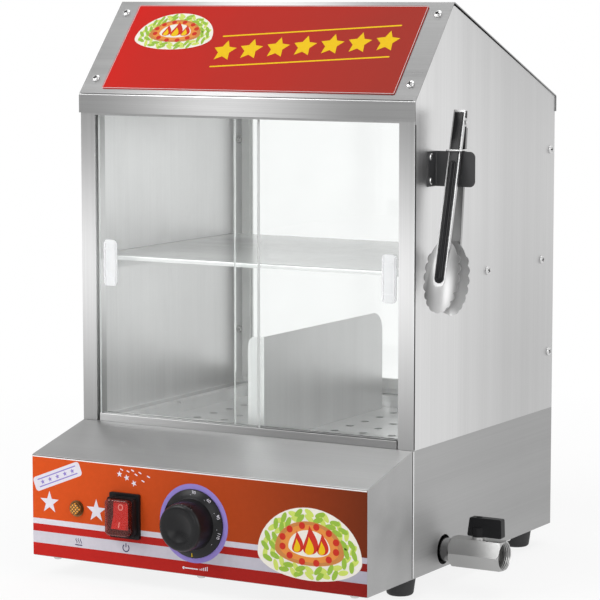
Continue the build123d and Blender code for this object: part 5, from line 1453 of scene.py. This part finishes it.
# ---------------------------------------------------------------- console
@dataclass
class Console:
    """Sloping-end console with its printed face, lamp, switch and dial."""

    kit: Kit
    face: float = -80.4
    sheet_half: float = 169.6
    sheet_top: float = 90.0
    # Bands by height over the base's edge, each with a left colour and a right colour darkened as
    # painted shade.
    bands: tuple[tuple[float, Colour, Colour], ...] = (
        (0.0, (0.50, 0.018, 0.014), (0.20, 0.010, 0.008)),
        (11.5, (0.60, 0.58, 0.64), (0.34, 0.33, 0.39)),
        (21.8, (0.50, 0.018, 0.014), (0.20, 0.010, 0.008)),
        (28.7, (0.68, 0.66, 0.72), (0.40, 0.39, 0.45)),
        (33.6, (0.64, 0.080, 0.012), (0.13, 0.022, 0.006)))
    knob: tuple[float, float] = (0.0, 45.5)
    ring_radius: float = 34.5
    skirt: tuple[float, float] = (30.0, 3.0)
    grip: tuple[float, float] = (22.5, 20.5)
    dish: tuple[float, float] = (13.5, 3.6)
    dot_circle: float = 25.0
    dot_turn: float = 6.5
    number_turn: float = 34.0
    rocker_waist: tuple[float, float] = (-88.62, 64.16)
    rocker_leans: tuple[float, float] = (1.1, 18.9)

    def build(self) -> None:
        """Dress the console and build its controls."""
        self.kit.eased("steel_console", "body", "console_cover")
        self.kit.paint("steel_console", "console_panel")
        self._face_sheet()
        self._artwork()
        self._lamp()
        self._switch()
        self._knob()

    def _on_face(self, x: float, h: float, turn: float = 0.0) -> Matrix:
        """Local frame on the face sheet, by x and height over the base's edge in mm."""
        upright = axes(self.kit.datum.at(x, self.face, BASE + h), RIGHT, UP)
        return upright @ Matrix.Rotation(radians(turn), 4, "Z")

    def _face_sheet(self) -> None:
        """Printed sheet with level bands."""
        bands = tuple((BASE + h, left, right) for h, left, right in self.bands)
        self.kit.palette.add(BandedPrint("face_print", BASE, BASE + self.sheet_top, bands))
        height = self.sheet_top - 0.5
        sheet = slab(rounded_rectangle(2 * self.sheet_half, height, 0.6, 2), -0.38, 0.02,
                     self._on_face(0, 0.4 + height / 2))
        self.kit.put("control_overlay_printed", sheet, "face_print", node="control_overlay")

    def _artwork(self) -> None:
        """Stars, badge, dial ring, pictograms and medallion."""
        layer, face = self.kit.printed, self._on_face(0, 0)
        badge = self._on_face(-142.6, 73.2, 21.5)
        big = [shifted(star(10.4), -151.5, 49.0), shifted(star(10.6), -101.3, 46.2)]
        layer("face_stars", big, "ink_white", face)
        # Painted highlight along the bend at the face sheet's top edge.
        layer("face_lip", [rounded_rectangle(338.6, 0.9, 0.2, 2)], "painted_bend_highlight",
              self._on_face(0, 89.5))
        self._star_cluster(face)
        layer("face_badge", [rounded_rectangle(53.0, 13.0, 3.0)], "ink_white", badge)
        lines = [shifted(rounded_rectangle(44.0, 1.0, 0.4, 3), 0, y) for y in (-3.4, 3.4)]
        layer("face_badge_line", lines, "ink_violet", badge, 1)
        small = [shifted(star(2.4, 0.45), 8.6 * (k - 2), 0) for k in range(5)]
        layer("face_badge_stars", small, "ink_violet", badge, 1)
        layer("dial_ring", [ellipse(self.ring_radius, self.ring_radius, 72)], "ink_violet",
              self._on_face(*self.knob), 1)
        for kind, size, ink, x, h in ((Mark.HEAT, 7.0, "ink_dark", -120.4, 16.8),
                                      (Mark.POWER, 8.0, "ink_dark", -70.2, 16.6),
                                      (Mark.DIAL, 6.0, "ink_white", -3.0, 5.8)):
            Pictogram(self.kit, kind, size, ink).build(f"mark_{kind.value}", self._on_face(x, h))
        Medallion(self.kit, "face_medallion", 101.0, 62.0).build(self._on_face(114.5, 39.5))

    def _star_cluster(self, face: Matrix) -> None:
        """Small stars with short dashes flying from them."""
        spots = [(self._on_face(x, h).to_translation(), FRONT, 0.2 * k, 1.0)
                 for k, (x, h) in enumerate(((-76.4, 81.5), (-68.9, 78.9), (-61.3, 74.6)))]
        template = slab(star(3.0, 0.42), PRINT_BACK, 0.1)
        self.kit.scatter("face_small_stars", template, "ink_white", spots)
        dashes = [shifted(rounded_rectangle(3.2, 1.0, 0.4, 3), x, h, -24) for x, h in
                  ((-74.1, 85.6), (-67.5, 84.6), (-62.6, 85.8), (-59.1, 82.4), (-55.0, 84.4),
                   (-51.9, 77.4), (-46.2, 81.8))]
        self.kit.printed("face_dashes", dashes, "ink_white", face)

    def _lamp(self) -> None:
        """Domed amber lens in a thin bezel."""
        box = Box.of("lamp_lens")
        radius, depth = box.size.x / MM / 2, box.size.y / MM
        lens = lathe(rounded_profile(radius - 1.1, depth, depth * 0.5, 7), box.back, 40)
        self.kit.put("lamp_lens_domed", lens, "amber_lens", node="lamp_lens", angle=60.0)
        bezel = lathe([(0.0, 0.0), (radius, 0.0), (radius, 1.7), (radius - 0.4, 2.2),
                       (radius - 1.0, 1.9), (0.0, 1.5)], box.back, 40)
        self.kit.put("lamp_bezel_ring", bezel, "lamp_bezel", angle=60.0)
        self.kit.paint("lamp_bezel", "lamp_body")

    def _switch(self) -> None:
        """Rocker switch with ribbed frame and clear smoked cover."""
        self.kit.eased("black_plastic", "body", "switch_housing", width=0.5)
        self.kit.eased("red_rocker", "rocker", "rocker", width=0.6)
        self.kit.eased("smoke_cover", "body", "switch_cover", width=0.6)
        self._rocker_marks()
        middle, y = Box.of("switch_housing").centre, Box.of("switch_cover").high.y
        spots = [(Vector((middle.x, y, middle.z + edge * (13.6 + 1.7 * k) * MM)), FRONT, 0.0, 1.0)
                 for edge in (-1, 1) for k in range(3)]
        rib = slab(rounded_rectangle(22.0, 1.0, 0.4, 3), -0.05, 0.7, rim=0.2)
        self.kit.scatter("switch_ribs", rib, "black_plastic", spots)

    def _rocker_marks(self) -> None:
        """Ring on the upper half of the dished rocker and bar on the lower half."""
        waist = self.kit.datum.at(0, *self.rocker_waist)
        waist.x = Box.of("rocker").centre.x
        places = []
        for lean, along in zip(self.rocker_leans, (7.8, -7.8)):
            up = Vector((0, sin(radians(lean)), cos(radians(lean))))
            places.append(axes(waist, RIGHT, up) @ Matrix.Translation(Vector((0, along, 0)) * MM))
        steps = 24
        outer, inner = ellipse(2.7, 2.9, steps), ellipse(1.7, 1.9, steps)
        bm = bmesh.new()
        for k in range(steps):
            j = (k + 1) % steps
            add_slab(bm, [outer[k], outer[j], inner[j], inner[k]], -0.3, 0.06, places[0])
        add_slab(bm, rounded_rectangle(1.2, 5.2, 0.4, 3), -0.3, 0.06, places[1])
        self.kit.put("rocker_marks", bm, "white_mark", "rocker")

    def _knob(self) -> None:
        """Dished control knob on a printed skirt."""
        box = Box.of("control_knob")
        back, top = self.grip
        radius, thick = self.skirt
        total = box.size.y / MM
        profile = [(0.0, 0.0), (radius, 0.0), (radius, 1.0), (radius - 0.5, 1.7),
                   (back + 1.0, thick), (back, thick + 0.5), (back - 0.25, thick + 2.5),
                   (top + 0.35, total - 4.6)]
        profile += [(top - 3.6 + 3.8 * cos(a), total - 3.8 + 3.8 * sin(a))
                    for a in (radians(15 * k) for k in range(7))]
        wide, deep = self.dish
        profile += [(wide * (1 - k / 8), total - deep * sin(k / 8 * pi / 2)) for k in range(9)]
        self.kit.put("control_knob_turned", lathe(profile, box.back, 96), "black_knob", "knob",
                     "control_knob", 50.0)
        self.kit.paint("zinc_bright", "thermostat_shaft")
        self._knob_marks(box.back)

    def _knob_marks(self, place: Matrix) -> None:
        """Dots, numbers and a pointer line on the skirt; the dish stays bare."""
        face = self.skirt[1] - 0.55
        out = place.to_3x3() @ UP
        spots = []
        for k in range(21):
            angle, reach = radians(92 - self.dot_turn * k), self.dot_circle
            local = Vector((reach * cos(angle), reach * sin(angle), face - 0.25)) * MM
            spots.append((place @ local, out, 0.0, 1.35 if k % 5 == 0 else 1.0))
        dot = slab(ellipse(0.55, 0.55, 12), -0.3, 0.28)
        self.kit.scatter("dial_dots", dot, "ink_white", spots, "knob")
        for k, text in enumerate(("30", "60", "90", "110")):
            turn = Matrix.Rotation(radians(-4 - self.number_turn * k), 4, "Z")
            spot = place @ turn @ Matrix.Translation(Vector((0, 27.6, face - 0.38)) * MM)
            mesh, ink = words_mesh(text, 4.2, spot, 0.5), self.kit.palette.get("ink_white")
            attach(as_object(f"dial_number_{text}", mesh, ink), "knob")
        line = shifted(rounded_rectangle(0.8, 4.6, 0.3, 3), 0, -26.4)
        pointer = slab(line, face - 0.6, face + 0.12, place)
        self.kit.put("knob_pointer", pointer, "ink_yellow", "knob")


# ---------------------------------------------------------------- drain valve
@dataclass
class DrainValve:
    """Half-inch ball valve with a lever."""

    kit: Kit
    bore: float = 9.3
    socket: float = 11.9
    socket_depth: float = 13.0
    pitch: float = 1.814
    turns: float = 6.0

    def build(self) -> None:
        """Dress the valve and cut its threaded socket."""
        nickel = self.kit.palette.get("nickel_satin")
        pipe = Box.of("drain_pipe").centre
        end = Vector((Box.of("valve_body").high.x, pipe.y, pipe.z))
        inward = Matrix.Translation(end) @ Matrix.Rotation(radians(-90), 4, "Y")
        profile = [(0.0, -2.0), (self.socket + 0.9, -2.0), (self.socket + 0.9, 0.3),
                   (self.socket, 1.2), (self.socket, self.socket_depth),
                   (self.bore - 0.5, self.socket_depth + 1.5), (0.0, self.socket_depth + 1.5)]
        cutter = finish_mesh("socket_cutter", lathe(profile, inward, 64), nickel)
        piece = soften(self.kit.frame, "valve_body", "valve_body_dressed", nickel, 0.4, cutter)
        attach(piece, "body")
        self.kit.paint("steel_nipple", "drain_pipe")
        self.kit.paint("steel_polished", "lever_screw")
        self.kit.paint("zinc_bright", "valve_stem", "valve_ball")
        self.kit.eased("black_plastic", "valve_lever", "valve_lever", width=0.7)
        start = inward @ Matrix.Translation(Vector((0, 0, 1.0 * MM)))
        sizes = {"Radius": self.socket * MM, "Pitch": self.pitch * MM, "Turns": self.turns,
                 "Ridge": 0.6 * MM}
        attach(self.kit.repeat.thread("outlet_thread", start, sizes, nickel), "body")


# ---------------------------------------------------------------- tongs
@dataclass
class Tongs:
    """Scalloped serving tongs on their holder."""

    kit: Kit
    pin: tuple[float, float, float] = (191.0, 42.6, 407.0)
    lean: float = 10.0
    spread: float = 4.5
    grip_end: float = 139.0
    ridge: tuple[float, float, float] = (6.4, 1.9, 34.0)

    def build(self) -> None:
        """Dress the tongs and their holder."""
        self.kit.eased("black_powder_coat", "body", "tongs_holder", width=0.3)
        self.kit.paint("steel_scoop_front", "tongs_arm_front")
        self.kit.paint("steel_scoop_rear", "tongs_arm_rear")
        self.kit.paint("steel_polished", "tongs_ring", "tongs_pin", "tongs_spring")
        self.kit.eased("black_gloss", "tongs_front_arm", "tongs_grip_front")
        self.kit.eased("black_gloss", "tongs", "tongs_grip_rear")
        self._ridge()

    def _ridge(self) -> None:
        """Domed bar moulded along the front grip, below the ring."""
        turn = radians(self.lean + self.spread)
        width, height, start = self.ridge
        pin = self.kit.datum.at(*self.pin)
        low = Box.of("tongs_grip_front").low.y
        stand = (pin.y - low - sin(turn) * self.grip_end * MM) / cos(turn)
        down = Vector((0, -sin(turn), -cos(turn)))
        out = Vector((0, -cos(turn), sin(turn)))
        origin = pin + down * (self.grip_end - 2.0) * MM + out * (stand - 0.05 * MM)
        bar = ridge(width, height, self.grip_end - 2.0 - start, axes(origin, RIGHT, -down))
        self.kit.put("tongs_grip_ridge", bar, "black_gloss", "tongs_front_arm", angle=60.0)


# ---------------------------------------------------------------- studio
@dataclass
class Studio:
    """Floor, soft light and camera."""

    kit: Kit
    azimuth: float = 30.16
    pitch: float = 6.65
    lens: float = 156.126
    eye: tuple[float, float, float] = (1182.3, -1933.5, 512.7)

    def build(self) -> None:
        """Set up everything round the object."""
        bpy.context.scene.view_settings.view_transform = "Standard"
        self._world()
        self._floor()
        self._lights()
        self._camera()

    def _world(self) -> None:
        """White surroundings where seen or seen through; softer ones for light and mirrors."""
        world = bpy.data.worlds.new("studio")
        bpy.context.scene.world = world
        world.use_nodes = True
        sheet = Layout(world.node_tree)
        rays = sheet.add("ShaderNodeLightPath").outputs
        seen = sheet.maths("MAXIMUM", rays["Is Camera Ray"], rays["Is Transmission Ray"])
        way = sheet.add("ShaderNodeTexCoord").outputs["Generated"]
        aim = sheet.add("ShaderNodeSeparateXYZ", {0: way}).outputs
        back = sheet.span(aim["Y"], -0.9, 0.5, 0.42, 1.0)
        above = sheet.span(aim["Z"], 0.35, 0.9, 0.0, 1.0)
        mirror = sheet.maths("MAXIMUM", back, above)
        level = 0.55
        for share, full in ((rays["Is Glossy Ray"], mirror), (seen, 1.0)):
            inputs = {0: share, 2: level, 3: full}
            level = sheet.add("ShaderNodeMix", inputs, data_type="FLOAT").outputs[0]
        ground = sheet.add("ShaderNodeBackground", {"Color": (1, 1, 1, 1), "Strength": level})
        sheet.add("ShaderNodeOutputWorld", {"Surface": ground.outputs[0]})

    def _floor(self) -> None:
        """Plain pale floor that keeps the object's shadow."""
        bm = bmesh.new()
        bmesh.ops.create_grid(bm, x_segments=2, y_segments=2, size=12.0)
        material, sheet, skin, out = new_material("floor_white")
        sheet.wire(skin, {"Base Color": (0.86, 0.86, 0.86, 1), "Roughness": 0.9})
        glow = sheet.add("ShaderNodeEmission", {"Color": (1, 1, 1, 1), "Strength": 1.0})
        rays = sheet.add("ShaderNodeLightPath").outputs
        seen = rays["Is Transmission Ray"]
        for ray in ("Is Glossy Ray", "Is Camera Ray"):
            seen = sheet.maths("MAXIMUM", rays[ray], seen)
        away = sheet.vector("LENGTH", {0: sheet.here()})["Value"]
        share = sheet.span(away, 0.35, 1.1, 0.82, 1.0)
        mix = sheet.add("ShaderNodeMixShader", {0: sheet.maths("MULTIPLY", seen, share),
                                                1: skin.outputs[0], 2: glow.outputs[0]})
        sheet.wire(out, {"Surface": mix.outputs[0]})
        finish_mesh("studio_floor", bm, material)

    def _lights(self) -> None:
        """Broad soft lamps: left in front, right, above, and level in front."""
        for name, place, aim, size, power in (
                ("key", (-1.3, -1.6, 1.8), (0, 0, 0.25), 1.4, 26.0),
                ("fill", (2.0, -0.9, 1.1), (0, 0, 0.25), 1.6, 15.0),
                ("top", (0.1, 0.5, 2.3), (0, 0.05, 0.2), 1.8, 14.0),
                ("front", (0.3, -2.4, 0.7), (0, 0.1, 0.25), 1.0, 7.0)):
            lamp = bpy.data.lights.new(name, "AREA")
            lamp.shape, lamp.size, lamp.energy = "SQUARE", size, power
            thing = linked(name, lamp)
            thing.location = place
            thing.rotation_euler = (Vector(aim) - Vector(place)).to_track_quat("-Z", "Y").to_euler()

    def _camera(self) -> None:
        """Camera in front, to the right and a little above."""
        data = bpy.data.cameras.new("view")
        data.lens, data.sensor_width, data.clip_end = self.lens, 36.0, 100.0
        camera = linked("view", data)
        camera.location = self.kit.datum.at(*self.eye)
        camera.rotation_euler = (radians(90 - self.pitch), 0.0, radians(self.azimuth))
        bpy.context.scene.camera = camera


def main() -> None:
    """Build the steamer's looks sub-assembly by sub-assembly."""
    logging.basicConfig(level=logging.INFO, format="%(name)s %(message)s")
    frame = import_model()
    datum = Datum.of_cabinet()
    kit = Kit(frame, datum, Palette(Effects(datum)), Repeat())
    for part in (Cabinet(kit), Sign(kit), Fasteners(kit), Doors(kit), Console(kit), DrainValve(kit),
                 Tongs(kit), Studio(kit)):
        part.build()
        LOG.info("built %s", type(part).__name__)


if __name__ == "__main__":
    main()
